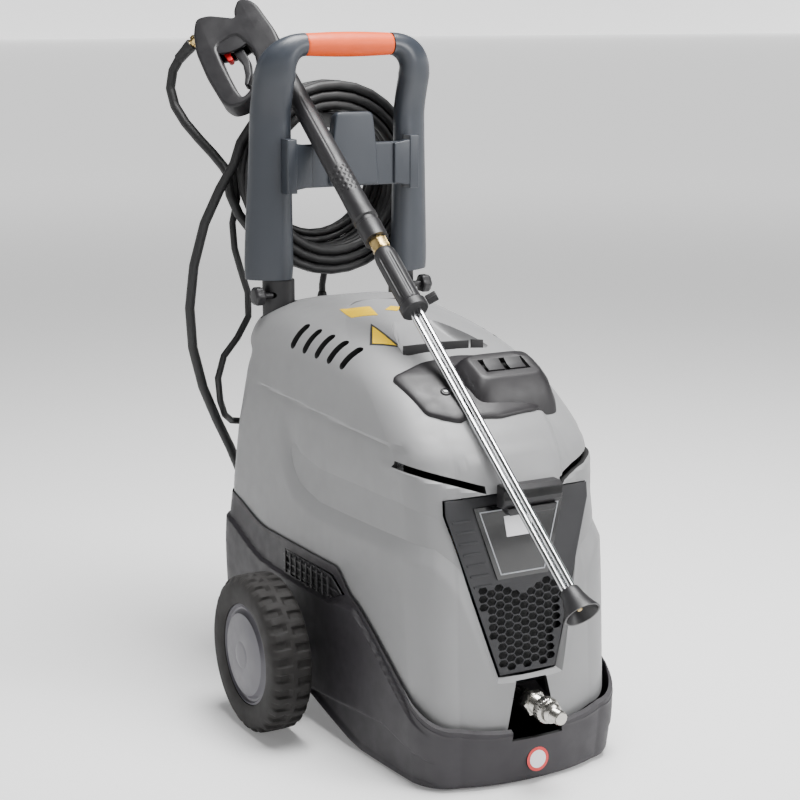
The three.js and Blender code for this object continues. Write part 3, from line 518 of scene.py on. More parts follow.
# ------------------------------------------------------------------ cords
HOSE, LEAD = 15.3, 10.8
COIL = {"x": 12, "y": 272, "z": 768.5, "mean": 129, "pitch": 15.3}
LEAD_COIL = {"x": 6, "y": 313, "z": 779, "mean": 112, "pitch": 10.8}
LANCE_START = np.array([-71, 255, 931.5])
LANCE_DIR = unit([32, -615, -516])
LANCE_SIDE = np.array([-0.8025, 0.3584, -0.477])
LANCE_SIDE = unit(LANCE_SIDE - LANCE_DIR * np.dot(LANCE_SIDE, LANCE_DIR))
LANCE_NORMAL = np.cross(LANCE_DIR, LANCE_SIDE)


def gun_point(s, t, n=0.0):
    return LANCE_START + LANCE_DIR * s + LANCE_SIDE * t + LANCE_NORMAL * n


INLET_DIR = unit(LANCE_SIDE + 0.5 * LANCE_NORMAL)
GUN_INLET = gun_point(-151, 92) + 2 * INLET_DIR
RISER_ROUTE = [[-66, 316.4, 178], [-66, 330, 178], [-68, 348, 181], [-74, 366, 196], [-88, 371, 230],
               [-110, 358, 280], [-139, 336, 335], [-168, 322, 388], [-194, 312, 444], [-213, 304, 510],
               [-219, 298, 574], [-213, 292, 640], [-196, 287, 705], [-171, 283, 757], [-147, 281, 795]]
WHIP_ROUTE = [[-171, 429, 954], [-181, 438, 932], [-186, 438, 905], [-184, 426, 878], [-176, 403, 852],
              [-166, 372, 828], [-157, 340, 807], [-151, 314, 789], [-149, 303, 780]]
LEAD_ROUTE = [[-104, 322.3, 372], [-104, 338, 372], [-112, 350, 373], [-132, 346, 377], [-151, 328, 392],
              [-166, 310, 420], [-172, 303, 458], [-162, 301, 493], [-138, 302, 520], [-117, 305, 552],
              [-116, 308, 590], [-125, 311, 622], [-135, 313, 660], [-138, 313, 700], [-129, 313, 738]]
TAIL_ROUTE = [[74, 313, 660.5], [50, 313, 647.5], [32, 313.5, 632], [22, 315, 610], [19, 316, 592],
              [19, 316, 582]]
PER_TURN = 30


def winding(coil, start, end, slots, turns, ripple):
    """Coil seen from the front as clockwise turns: each turn holds a slot (radius, depth), and moves to
    the next over a sixth of a turn. start and end are the points where the cord joins and leaves."""
    def polar(p):
        dx, dz = p[0] - coil["x"], p[2] - coil["z"]
        return math.atan2(dz, dx), math.hypot(dx, dz), p[1] - coil["y"]

    a0, r0, y0 = polar(start)
    a1, r1, y1 = polar(end)
    sweep_angle = (a0 - a1) % (2 * math.pi) + 2 * math.pi * turns
    count = int(round(sweep_angle / (2 * math.pi) * PER_TURN))
    points = []
    for k in range(1, count):
        angle = sweep_angle * k / count
        turn = angle / (2 * math.pi)
        i = min(int(turn), len(slots) - 1)
        j = min(i + 1, len(slots) - 1)
        blend = float(smooth(5 / 6, 1, turn - i)) if i < j else 0.0
        r = slots[i][0] * (1 - blend) + slots[j][0] * blend
        y = slots[i][1] * (1 - blend) + slots[j][1] * blend
        near = float(smooth(0.16, 0, turn))
        far = float(smooth(0.16, 0, sweep_angle / (2 * math.pi) - turn))
        r += near * (r0 - r) + far * (r1 - r)
        y += near * (y0 - y) + far * (y1 - y)
        still = (1 - near) * (1 - far)
        r += ripple * still * math.sin(3 * angle + 1.7 * i) * math.sin(0.37 * angle)
        theta = a0 - angle
        points.append([coil["x"] + r * math.cos(theta), coil["y"] + y, coil["z"] + r * math.sin(theta)])
    return points


def cord_curve(name, points, diameter, look):
    data = bpy.data.curves.new(name, "CURVE")
    data.dimensions = "3D"
    data.bevel_depth = diameter / 2 * MM
    data.bevel_resolution = 6
    data.resolution_u = 5
    data.use_fill_caps = True
    spline = data.splines.new("NURBS")
    spline.order_u = 4
    spline.use_endpoint_u = True
    spline.points.add(len(points) - 1)
    for point, place in zip(spline.points, row(points)):
        point.co = (*place, 1)
    data.materials.append(LOOKS[look])
    piece = bpy.data.objects.new(name, data)
    scene.collection.objects.link(piece)
    return piece


def add_cord(name, cord, coil, slots, turns, ripple, start, end, nodes, **lay):
    """Cord through its two routes and the coil between them."""
    winds = winding(coil, start[-1], end[0], slots, turns, ripple)
    piece = cord_curve(name, [*start, *winds, *end], cord, "rubber")
    keep(piece, nodes=nodes)
    row(start[0])


def add_hose():
    p = COIL["pitch"]
    outer, mid, inner = COIL["mean"] + p, COIL["mean"], COIL["mean"] - p
    slots = [(outer, 0), (outer, -p), (mid, -p), (inner, -p), (inner, 0), (inner, p), (mid, p), (outer, p)]
    whip = [*WHIP_ROUTE[::-1], list(GUN_INLET + INLET_DIR * 20.4)]
    hose_nodes = ["hose_coil", "hose_whip", "hose_riser"]
    add_cord("hose", HOSE, COIL, slots, 7, 0.7, RISER_ROUTE, whip, hose_nodes, length=8.0, far_end="object",
             stiffness="stiff")


def add_lead():
    p = LEAD_COIL["pitch"] / 2
    outer, mid, inner = LEAD_COIL["mean"] + 2 * p, LEAD_COIL["mean"], LEAD_COIL["mean"] - 2 * p
    slots = [(outer, -p), (mid, -p), (inner, -p), (inner, p), (mid, p), (outer, p)]
    lead_nodes = ["lead_coil", "lead_riser", "lead_tail"]
    add_cord("mains_lead", LEAD, LEAD_COIL, slots, 5, 0.5, LEAD_ROUTE, TAIL_ROUTE, lead_nodes, length=5.0,
             far_end="plug", stiffness="medium", with_pieces=add_plug())


def add_plug():
    x, y, top = TAIL_ROUTE[-1]
    profile = [(0, -70), (17, -70), (18.5, -64), (18.5, -42), (12.5, -32), (9, -12), (6.4, 0), (0, 0)]

    def flats(angle, radius, height):
        return radius * (1 - 0.10 * smooth(-40, -60, height) * (math.cos(2 * angle) * 0.5 + 0.5))

    place = (x, y, top - 0.3)
    body = lathe("mains_plug_body", rounded(profile, 3), place, (0, 0, 1), "rubber", 48, shape=flats)
    keep(body, nodes=["mains_plug"])
    pins = []
    pin = rounded([(0, -19), (2.4, -19), (2.4, 0), (0, 0)], 0.8)
    for k, offset in enumerate((-9, 9)):
        place = (x + offset, y, top - 70.3)
        pins.append(lathe(f"mains_plug_pin_{k}", pin, place, (0, 0, 1), "nickel", 20))
        keep(pins[-1])
    return [body, *pins]


# ------------------------------------------------------------------ moulded shells
# One row per height: z, front, crown, front half-width, front radius, rear, half-width, rear radius.
HOOD_ROWS = np.array([
    [60, -340, 17, 146, 42, 282, 171, 45],
    [150, -334, 17, 148, 44, 284, 172, 45],
    [290, -325, 16, 150, 48, 282, 171, 45],
    [344, -321, 15, 150, 51, 277, 168.5, 46],
    [400, -313, 15, 150, 54, 270, 165.5, 48],
    [440, -295, 15, 149, 58, 264, 161.5, 50],
    [466, -273, 14, 146, 60, 261, 158.5, 52],
    [490, -245, 13, 142, 62, 258, 156, 55],
    [512, -214, 12, 137, 62, 254, 153, 60],
    [530, -180, 11, 131, 60, 256, 151, 50],
    [547, -142, 10, 122, 56, 253, 146, 48],
    [562, -106, 9, 110, 50, 248, 138, 48],
    [575, -58, 8, 94, 42, 238, 125, 50],
    [586, -4, 6, 74, 34, 222, 104, 48],
    [594, 48, 4, 50, 22, 198, 74, 40],
    [599, 92, 2, 24, 10, 166, 40, 20]], float)
BASE_ROWS = np.array([
    [0, -343, 18, 145, 42, 268, 171, 42],
    [14, -349, 18, 152, 44, 279, 177, 44],
    [80, -352, 18, 156, 45, 288, 180, 46],
    [200, -346, 18, 158, 46, 292, 183, 46],
    [236, -344, 18, 158, 46, 291, 182, 46],
    [300, -336, 18, 158, 46, 284, 178, 46]], float)
KNEE = 466


def monotone(rows, z):
    """Rows between their heights, by a monotone cubic, for an array of heights."""
    x, y = rows[:, 0], rows[:, 1:]
    h = np.diff(x)[:, None]
    slope = np.diff(y, axis=0) / h
    tangent = np.zeros_like(y)
    a, b = slope[:-1], slope[1:]
    same = a * b > 0
    tangent[1:-1] = np.where(same, 2 * a * b / np.where(same, a + b, 1), 0)
    tangent[0], tangent[-1] = slope[0], slope[-1]
    z = np.clip(np.asarray(z, float), x[0], x[-1])
    i = np.clip(np.searchsorted(x, z, side="right") - 1, 0, len(x) - 2)
    t = ((z - x[i]) / h[i, 0])[:, None]
    h00, h10 = 2 * t ** 3 - 3 * t ** 2 + 1, t ** 3 - 2 * t ** 2 + t
    h01, h11 = -2 * t ** 3 + 3 * t ** 2, t ** 3 - t ** 2
    return h00 * y[i] + h10 * h[i] * tangent[i] + h01 * y[i + 1] + h11 * h[i] * tangent[i + 1]


PIECES = {"front": 0, "front_corner": 1, "side": 2, "rear_corner": 3, "rear": 4}


def half_samples(counts):
    """(piece, t) along the right half of a plan section, from the front centre to the rear centre."""
    samples = [(PIECES[name], i / steps) for name, steps in counts for i in range(steps)]
    return np.array([*samples, (PIECES["rear"], 1.0)])


def half_plan(values, samples, inset=0.0):
    """Plan points for rows of values, one per sample."""
    front, crown, front_half, front_radius, rear, half, rear_radius = values.T
    f, fh, fr = front + inset, front_half - inset, np.maximum(front_radius - inset, 2)
    r, h, rr = rear - inset, half - inset, np.maximum(rear_radius - inset, 2)
    lean = (h - fh) * 0.25
    zero = np.zeros_like(f)
    controls = [
        [(zero, f - crown), ((fh - fr) * 0.6, f - crown), (fh - fr, f)],
        [(fh - fr, f), (fh - fr * 0.1, f + fr * 0.12), (fh + lean, f + fr + lean)],
        [(fh + lean, f + fr + lean), (h, (f + r) / 2 - 60), (h, r - rr)],
        [(h, r - rr), (h, r), (h - rr, r)],
        [(h - rr, r), ((h - rr) / 2, r), (zero, r)],
    ]
    points = np.zeros((len(samples), 2))
    for k, (a, b, c) in enumerate(controls):
        use = samples[:, 0] == k
        t = samples[use, 1]
        for axis in (0, 1):
            points[use, axis] = ((1 - t) ** 2 * a[axis][use] + 2 * t * (1 - t) * b[axis][use]
                                 + t * t * c[axis][use])
    return points


def plan_ring(rows, z_of, samples, inset=0.0):
    """Closed ring: right half, then its mirror image."""
    nominal = half_plan(monotone(rows, np.full(len(samples), 250.0)), samples, inset)
    z = z_of(nominal[:, 1])
    flat = half_plan(monotone(rows, z), samples, inset)
    right = np.column_stack([flat, z])
    left = right[1:-1][::-1] * (-1, 1, 1)
    return np.vstack([right, left])


def rim_height(y):
    drop = smooth(-345, -150, y)
    low = 76 + 10 * smooth(-366, -340, y)
    shoulder = 222 + 36 * smooth(-156, -96, y)
    rear = 28 * smooth(120, 270, y)
    return low + (shoulder - low) * (0.35 * drop + 0.65 * np.clip((y + 345) / 190, 0, 1)) + rear


def belly_height(y):
    return 4 + 50 * np.clip((y + 156) / 165, 0, 1)


def grid_normals(grid):
    """Outward normals of a closed-ring grid (rings, points, 3)."""
    around = np.roll(grid, -1, 1) - np.roll(grid, 1, 1)
    down = np.gradient(grid, axis=0)
    n = np.cross(around, down)
    n /= np.maximum(np.linalg.norm(n, axis=2, keepdims=True), 1e-9)
    middle = grid.mean(axis=(0, 1))
    flip = np.sign(((grid - middle) * n).sum(axis=2, keepdims=True).mean())
    return n * flip


HOOD_SAMPLES = half_samples([("front", 46), ("front_corner", 30), ("side", 84), ("rear_corner", 16),
                             ("rear", 16)])


def slot_height(x):
    return 384 + 0.3 * np.abs(x)


def hood_relief(p, n):
    """How far the hood's skin stands proud of its plain form, in mm."""
    x, y, z = p[..., 0], p[..., 1], p[..., 2]
    side = smooth(0.35, 0.8, np.abs(n[..., 0]))
    # crease along the side, level with the front slots
    line = 472 - 16 * (188 - y) / 434
    under = line - z
    run = smooth(215, 150, y) * smooth(-262, -246, y)
    relief = -3.2 * run * side * smooth(-2, 2, under) * np.exp(-(np.maximum(under, 0) / 42) ** 2)
    # sloped band: the skin above it is set in, and the band turns down at the front corners
    q = np.where(y > -300, y, np.minimum(y, -300 - 0.9 * (150 - np.abs(x))))
    stations = [-385, -365, -345, -318, -270, -187, -28, 37, 64, 100]
    low = np.interp(q, stations, [130, 200, 268, 306, 313, 311, 309, 322, 345, 392])
    high = np.interp(q, stations, [230, 282, 318, 338, 342, 341, 340, 354, 380, 436])
    ramp = np.clip((z - low) / (high - low), 0, 1)
    fade = smooth(106, 52, q) * smooth(-392, -345, q) * (1 - 0.85 * smooth(high + 4, 458, z))
    relief += -11.5 * ramp * fade
    # raised centre of the bonnet, from the cap down to the panel
    left = np.interp(z, [400, 440, 490], [-36, -46, -52])
    right = np.interp(z, [400, 450, 506], [62, 68, 78])
    middle = smooth(-7, 3, x - left) * smooth(7, -3, x - right)
    facing = smooth(-0.2, -0.5, n[..., 1])
    relief += 5.0 * middle * facing * smooth(512, 468, z) * smooth(380, 392, z)
    # lip under the slots, and the skin above them set back
    gap = slot_height(x) - z
    wide = smooth(48, 60, np.abs(x)) * smooth(-185, -240, y)
    relief += 2.2 * wide * smooth(-2, 2, gap) * np.exp(-(np.maximum(gap - 3, 0) / 9) ** 2)
    relief -= 1.6 * wide * smooth(0, -6, gap) * np.exp(-(np.maximum(-gap - 6, 0) / 16) ** 2)
    return relief


def shell_piece(name, outer, inner, look):
    """Closed shell: outer rings from the closed end to the rim, inner rings back again."""
    rings = [*outer, *inner]
    count = len(rings[0])
    faces = ring_faces(len(rings), count)
    faces += ladder_faces(count, 0, False)
    faces += ladder_faces(count, (len(rings) - 1) * count, True)
    return orient(mesh_piece(name, np.vstack(rings), faces, look))


PANEL = {"front_top": -306.0, "front_bottom": -339.0, "top": 394.0, "bottom": 151.0}
PANEL_UP = unit([0, PANEL["front_top"] - PANEL["front_bottom"], PANEL["top"] - PANEL["bottom"]])
PANEL_OUT = np.array([0, -PANEL_UP[2], PANEL_UP[1]])
PANEL_ORIGIN = np.array([0, PANEL["front_top"], PANEL["top"]])
PANEL_OUTLINE = [(-112, 394), (-112, 374), (-44, 151), (44, 151), (112, 374), (112, 394)]


def on_panel(x, z, out=0.0):
    """Point of the panel's leaning plane."""
    return PANEL_ORIGIN + np.array([x, 0, 0]) + PANEL_UP * (z - PANEL["top"]) / PANEL_UP[2] + PANEL_OUT * out


def grown(outline, amount):
    middle = (PANEL["top"] + PANEL["bottom"]) / 2
    return [(x + math.copysign(amount, x), z + math.copysign(amount, z - middle)) for x, z in outline]


def slot_tool(sign):
    plan = [(57, -360), (57, -296), (160, -222), (182, -250), (120, -345)]
    if sign < 0:
        plan = plan[::-1]
    low = [(sign * x, y, slot_height(x)) for x, y in plan]
    high = [(sign * x, y, slot_height(x) + 9.5) for x, y in plan]
    return prism_tool("slot_tool", low, high)


def vent_tool(sign, y):
    """Louvre through the shoulder: a short slot with round ends, leaning back."""
    slope = unit([sign * 30, 0, -30])
    out = unit([sign * 30, 0, 30])
    along = unit(slope + np.array([0, 0.2, 0]))
    wide = unit(np.cross(out, along))
    centre = np.array([sign * 138, y + 2, 561.0])
    ring = []
    for k in range(24):
        a = 2 * math.pi * k / 24
        stretch = 15 if math.cos(a) > 0 else -15
        ring.append(centre + along * (stretch + 7.0 * math.cos(a)) + wide * 7.0 * math.sin(a))
    return prism_tool("vent_tool", [p - out * 30 for p in ring], [p + out * 30 for p in ring])


RECESS = [(-77, -120), (-70, -126), (70, -126), (77, -120), (56, -62), (38, -14), (22, 14), (0, 22),
          (-22, 14), (-38, -14), (-56, -62)]
RECESS_LEVELS = [(0.80, 0), (0.85, 0.6), (0.89, 2.2), (0.92, 5.5), (0.94, 10), (0.985, 27), (1.04, 62)]


def recess_tool():
    """Fan-shaped scoop for the exhaust: deepest behind its front lip, rising to the rear."""
    edge = np.array(softened(RECESS, 14, 5))
    middle = np.array([0, -70.0])
    rings = []
    for scale, lift in RECESS_LEVELS:
        flat = middle + (edge - middle) * scale
        z = 550 + (flat[:, 1] + 124) * 0.10 + 34 * smooth(-70, 24, flat[:, 1]) + lift
        rings.append(np.column_stack([flat, z]))
    return ring_piece("recess_tool", rings, "hood")


def leg_tool(sign):
    """Hole in the hood around a handle leg."""
    rings = []
    for z in (480, 640):
        rings.append([(sign * (LEG["x"] + 0.877 * main - 0.48 * second),
                       LEG["y"] + 0.48 * main + 0.877 * second, z) for main, second in oval(28.5, 19.5, 32)])
    return ring_piece("leg_tool", rings, "dark")


HOOD_LEVELS = [599, 598.5, 597.7, 596.7, 595.4, 594, 592.3, 590.4, 588.3, 586, 583.4, 580.6, 577.8, 575]


def hood_level(z, inset=0.0):
    """Ring of the hood's plain form at one height."""
    return plan_ring(HOOD_ROWS, lambda y: np.full(len(y), float(z)), HOOD_SAMPLES, inset)


def hood_skirt(t, inset=0.0):
    """Ring between the knee (0) and the hood's lower edge, which follows the base (1)."""
    return plan_ring(HOOD_ROWS, lambda y: KNEE + (rim_height(y) - 12 - KNEE) * t, HOOD_SAMPLES, inset)


def hood_outside():
    """Rings from the crown down, with the relief of the skin."""
    rings = []
    for k in (0.25, 0.5, 0.75):
        ring = hood_level(599)
        ring[:, 0] *= k
        ring[:, 1] = 119 + (ring[:, 1] - 119) * (0.6 + 0.4 * k)
        ring[:, 2] = 599 + 0.8 * (1 - k * k)
        rings.append(ring)
    rings += [hood_level(z) for z in [*HOOD_LEVELS, *np.arange(572, KNEE, -3.2)]]
    rings += [hood_skirt(t) for t in np.linspace(0, 1, 64)]
    grid = np.array(rings)
    normals = grid_normals(grid)
    return grid + normals * hood_relief(grid, normals)[..., None]


def hood_inside():
    """Rings from the lower edge up; the roof dips under the exhaust recess."""
    rings = [hood_skirt(t, 9.0) for t in np.linspace(1, 0, 7)]
    for z in (490, 512, 530, 547, 562, 575, 586):
        ring = hood_level(z, 12.0)
        x, y = np.abs(ring[:, 0]), ring[:, 1]
        ring[:, 2] -= 5 + 46 * smooth(105, 88, x) * smooth(-160, -140, y) * smooth(110, 80, y)
        rings.append(ring)
    return rings


def inlet_tool(low_half, high_half, low, high, back):
    """Tapered notch around the water inlet."""
    rings = [[(-half, -385, z), (half, -385, z), (half, back, z), (-half, back, z)]
             for half, z in ((low_half, low), (high_half, high))]
    return prism_tool("inlet_tool", *rings)


def add_hood():
    hood = shell_piece("hood_shell", hood_outside(), hood_inside(), "hood")
    near = [on_panel(x, z, -1) for x, z in grown(PANEL_OUTLINE, 1)]
    flare = [(-128, 401), (-132, 378), (-78, 116), (78, 116), (132, 378), (128, 401)]
    far = [on_panel(x, z, 40) for x, z in flare]
    deep = [on_panel(x, z, -24) for x, z in grown(PANEL_OUTLINE, 1)]
    tools = [prism_tool("panel_flare", near, far, "hood"),
             prism_tool("panel_well", deep, [p + PANEL_OUT * 0.5 for p in near])]
    tools += [slot_tool(1), slot_tool(-1)]
    tools += [vent_tool(sign, y) for sign in (-1, 1) for y in (78, 42, 5, -31, -67)]
    tools += [inlet_tool(44, 24, 55, 143, -318), recess_tool(), leg_tool(-1), leg_tool(1)]
    tools.append(rod("gland_tool", 13, 0, 50, (-104, 255, 372), (0, 1, 0)))
    boolean(hood, tools, sharp=28)
    keep(hood, nodes=["hood", "exhaust_recess"])
    return hood


LOUVRE_TOP = 568.0


def add_exhaust_grille():
    """Black louvre insert that stands behind the recess's front lip; the dark line its tops make there is
    partly painted shade, standing in for the shaded deep end of the recess and its openings.
    """
    for k, (low_x, high_x) in enumerate(((-66, -8), (-5, 40), (44, 64))):
        outline = [(low_x, 545), (high_x, 545), (high_x, LOUVRE_TOP - 0.05 * abs(high_x)),
                   (low_x, LOUVRE_TOP - 0.02 * abs(low_x))]
        keep(outline_plate(f"exhaust_louvre_{k}", outline, (0, -111, 0), *UPRIGHT, 3, "black", (), 0.6))


def surface_under(tree, x, y, rise=0.0):
    """Point on the hood above a plan position, and its normal, in machine millimetres."""
    start = Vector(row((x, y, 900)))
    hit, normal, _, _ = tree.ray_cast(start, Vector((0, 0, -1)))
    point = np.array(hit) / MM
    point[1] -= SHIFT / MM
    return point + np.array(normal) * rise, np.array(normal)


# ------------------------------------------------------------------ base
def base_relief(p, n):
    """Body line and lip of the base, in mm."""
    x, y, z = p[..., 0], p[..., 1], p[..., 2]
    side = smooth(0.3, 0.75, np.abs(n[..., 0]))
    rim = rim_height(y)
    # band below the rim, set in from the body of the base
    width = np.interp(y, [-345, -160, 40, 120, 200, 292], [9, 12, 54, 50, 46, 38])
    width = np.where(y < -60, 12 + 43 * smooth(-156, -90, y), np.where(y < 40, 55, width))
    band = smooth(-2.2, 2.2, z - rim + width)
    relief = -6.0 * band * side * smooth(-340, -270, y)
    # lower crease
    crease = np.interp(y, [-330, -290, -231, 2, 60], [44, 54, 68, 50, 46])
    relief += -4.5 * side * smooth(3, -3, z - crease) * smooth(40, -10, y) * smooth(-345, -320, y)
    # rolled lip along the rim
    relief += 1.2 * np.exp(-((rim - z) / 3.0) ** 2) * smooth(0, 2, rim - z)
    return relief


BASE_SAMPLES = half_samples([("front", 34), ("front_corner", 26), ("side", 150), ("rear_corner", 18),
                             ("rear", 20)])


def base_ring(t, lift=0.0, inset=0.0):
    """Ring of the base between its belly (0) and its rim (1)."""
    def height(y):
        low = belly_height(y) + lift
        return low + (rim_height(y) - low) * t
    return plan_ring(BASE_ROWS, height, BASE_SAMPLES, inset)


GRILLE_HOLE = [(58, 244), (-92, 244), (-128, 224), (-86, 208), (36, 208)]


def side_prism(name, sign, near, far, outline):
    """Block that is drawn from the side, between two distances from the middle."""
    return prism_tool(name, *[[(sign * x, y, z) for y, z in outline] for x in (near, far)])


def add_base():
    levels = np.concatenate([[0], np.linspace(0.012, 0.06, 6), np.linspace(0.08, 0.97, 88), [0.985, 1]])
    grid = np.array([base_ring(t) for t in levels])
    normals = grid_normals(grid)
    relief = base_relief(grid, normals)[..., None] * smooth(0, 0.05, levels)[:, None, None]
    outer = grid + normals * relief
    outer[..., 2] = np.maximum(outer[..., 2], 0.2)
    inner = [base_ring(t, 4, 6.0) for t in (1, 0.75, 0.5, 0.25, 0.02)]
    base = shell_piece("base_shell", outer, inner, "base")
    tools = [side_prism("grille_tool", sign, 165, 215, GRILLE_HOLE) for sign in (-1, 1)]
    tools.append(inlet_tool(40, 26, 66, 200, -322))
    tools.append(rod("axle_tool", 11, -260, 260, (0, AXLE_Y, AXLE_Z), (1, 0, 0)))
    tools.append(rod("outlet_tool", 11, 0, 40, (-66, 270, 178), (0, 1, 0)))
    tools.append(rod("fuel_tool", 21, 0, 40, (92, 270, 220), (0, 1, 0), sides=40))
    boolean(base, tools)
    keep(base, nodes=["base_tray"])


def add_side_grilles():
    plate = [(57, 243), (-91, 243), (-126, 224), (-86, 209), (36, 209)]
    for side, sign in (("left", -1), ("right", 1)):
        bars = [side_prism(f"side_grille_back_{side}", sign, 171.5, 173.5, plate)]
        for k in range(9):
            y = 48 - 17.5 * k
            low = 210 + max(0, -86 - y) * 0.42
            high = 243 - max(0, -90 - y) * 0.55
            middle = (sign * 177.2, y, (low + high) / 2)
            bars.append(box_tool(f"side_grille_bar_{side}_{k}", (3.4, 3.2, high - low), middle))
        for z in (215, 226, 237):
            front = -88 - 34 * (1 - abs(z - 224) / 16)
            middle = (sign * 176.4, (front + 56) / 2, z)
            bars.append(box_tool(f"side_grille_rail_{side}_{z}", (2.2, 56 - front, 2.6), middle))
        grille = join(bars)
        grille.name = f"side_grille_{side}_fine"
        bevelled(grille, 0.5)
        grille.data.materials.clear()
        grille.data.materials.append(LOOKS["black"])
        keep(grille)


def add_feet():
    for side, x in (("left", -95), ("right", 95)):
        profile = rounded([(0, 0), (15, 0), (17, 3.7), (0, 3.7)], 1.2)
        foot = lathe(f"foot_{side}_fine", profile, (x, -290, 0), (0, 0, 1), "rubber", 40)
        keep(foot)


# ------------------------------------------------------------------ front panel and lance rest
def panel_plate(name, outline, out, thick, look, holes=(), bevel=0.8):
    """Plate in the panel's leaning plane, drawn with x and height, its face `out` in front of it."""
    def local(points):
        return [(x, (z - PANEL["top"]) / PANEL_UP[2]) for x, z in points]

    origin = PANEL_ORIGIN + PANEL_OUT * (out - thick / 2)
    return outline_plate(name, local(outline), origin, (1, 0, 0), PANEL_UP, thick, look,
                         [local(h) for h in holes], bevel)


def hexagon(cx, cz, rx, rz, steps=4):
    """Hexagon with rounded corners."""
    angles = [math.radians(60 * k) for k in range(6)]
    corners = [np.array((cx + rx * math.cos(a), cz + rz * math.sin(a) * 1.1547)) for a in angles]
    ring = []
    for before, here, after in zip(corners[-1:] + corners[:-1], corners, corners[1:] + corners[:1]):
        ring += curve(here + (before - here) * 0.2, here, here + (after - here) * 0.2, steps)
    return ring


def add_front_panel():
    holes = []
    for level in range(10):
        for column in range(-6, 7):
            x, z = column * 12.6, 160.5 + 11.4 * level + (5.7 if column % 2 else 0)
            if abs(x) < 44 + (z - 151) * 68 / 225 - 9.5 and z < 258 + 0.3 * abs(x):
                holes.append(hexagon(x, z, 7.3, 4.8))
    keep(panel_plate("front_panel_fine", PANEL_OUTLINE, 3, 3, "panel", holes, 0.7))
    # sheet behind the honeycomb holes in the dark look: painted shade standing in for the shaded inside of
    # the machine
    behind = [(-106, 390), (-106, 374), (-40, 155), (40, 155), (106, 374), (106, 390)]
    keep(panel_plate("panel_shade_sheet", behind, -5, 2, "dark", (), 0.3))
    for k in range(7):
        z = 366 - 15 * k
        left, right = -104 + 0.305 * (366 - z), -76 + 0.306 * (366 - z)
        rib = [(left, z), (right, z), (right + 1, z - 3), (left + 1, z - 3)]
        keep(panel_plate(f"panel_rib_{k}", rib, 4.0, 1.6, "panel", (), 0.5))
    plate = [(-71, 380), (-40, 280), (40, 280), (71, 380)]
    keep(panel_plate("name_plate_fine", plate, 5.3, 2.3, "gloss", (), 0.6))
    outer = [(-63, 374), (-35, 286), (35, 286), (63, 374)]
    inner = [(-60.6, 372.2), (-33.6, 287.8), (33.6, 287.8), (60.6, 372.2)]
    keep(panel_plate("name_plate_line", outer, 5.8, 0.5, "silver", [inner], 0.1))
    label = [(-25, 364), (-22, 336), (17, 336), (20, 364)]
    keep(panel_plate("blank_label", label, 5.8, 0.5, "white", (), 0.1))


def add_lance_rest():
    side = [(-329.5, 414), (-345, 414), (-350, 409), (-350, 391), (-343, 384), (-329.5, 384)]
    block = outline_plate("lance_rest_fine", side, (0, 0, 0), *SIDEWAYS, 92, "black", (), 2.5, 4)
    boolean(block, [rod("rest_groove", 9, -60, 60, (0, -357, 402), (1, 0, 0))])
    keep(block)
    lip = [(-34, 0), (34, 0), (38, 5), (38, 10), (-38, 10), (-38, 5)]
    keep(outline_plate("lance_rest_lip", lip, (0, -339, 374), *UPRIGHT, 18, "black", (), 2))


# ------------------------------------------------------------------ control cap and labels
CAP_OUTLINE = [(-111, -158), (-60, -146), (0, -142), (60, -146), (111, -158), (110, -192), (97, -233),
               (62, -256), (0, -266), (-62, -256), (-98, -233)]
CAP_TILT = math.atan2(17, 38)
CAP_ORIGIN = np.array([38, -206, 538.0])
CAP_UP = np.array([0, -math.sin(CAP_TILT), math.cos(CAP_TILT)])
CAP_BACK = np.array([0, math.cos(CAP_TILT), math.sin(CAP_TILT)])


def on_cap(x, back, up):
    return CAP_ORIGIN + np.array([x, 0, 0]) + CAP_BACK * back + CAP_UP * up


# share of the outline, and rise above the hood
CAP_LEVELS = [(1.0, -1.5), (1.0, 3.0), (0.992, 4.0), (0.98, 4.7), (0.96, 5.4), (0.93, 6.1), (0.9, 6.6),
              (0.86, 7.0), (0.8, 7.5), (0.73, 8.0), (0.66, 8.4), (0.58, 8.7), (0.5, 9.0), (0.42, 9.2),
              (0.34, 9.3), (0.25, 9.4), (0.16, 9.5), (0.06, 9.5)]
# half width, half depth, height, shift to the rear, and how far the front edge drops
PAD_LEVELS = [(70, 58, -16, -19, 1.0), (66, 52, -6, -15, 0.75), (58, 40, 4, -5.5, 0.3),
              (51, 31.5, 9.4, -0.5, 0), (48.5, 28.6, 11.4, 0, 0), (46, 26.2, 12, 0, 0)]


def add_switch_pad():
    rings = []
    for half_x, half_b, up, shift, dip in PAD_LEVELS:
        ring = []
        for x, back in oval(half_x, half_b, 72, 0.36):
            drop = 0.55 * dip * min(0.0, shift + back + 10)
            ring.append(on_cap(x, shift + back, up + drop))
        rings.append(ring)
    pad = ring_piece("switch_pad", rings, "cap", 30)
    boolean(pad, [box_tool("pad_well", (71, 29, 15), on_cap(0, 0, 11.5), ((1, 0, 0), CAP_BACK, CAP_UP))])
    bevelled(pad, 0.6, 40)
    keep(pad)


def add_rockers():
    tip = math.radians(8)
    up = CAP_UP * math.cos(tip) - CAP_BACK * math.sin(tip)
    back = CAP_BACK * math.cos(tip) + CAP_UP * math.sin(tip)
    profile = [(-11, -1.4), (-11, 2.6), (-6, 1.8), (0, 1.1), (6, 1.8), (11, 2.6), (11, -1.4)]
    for side, sign in (("left", -1), ("right", 1)):
        pivot = on_cap(sign * 17, 0, 10)
        rocker = outline_plate(f"rocker_{side}_fine", profile, pivot + up, back, up, 26, "black", (), 0.6)
        keep(rocker, f"rocker_{side}")


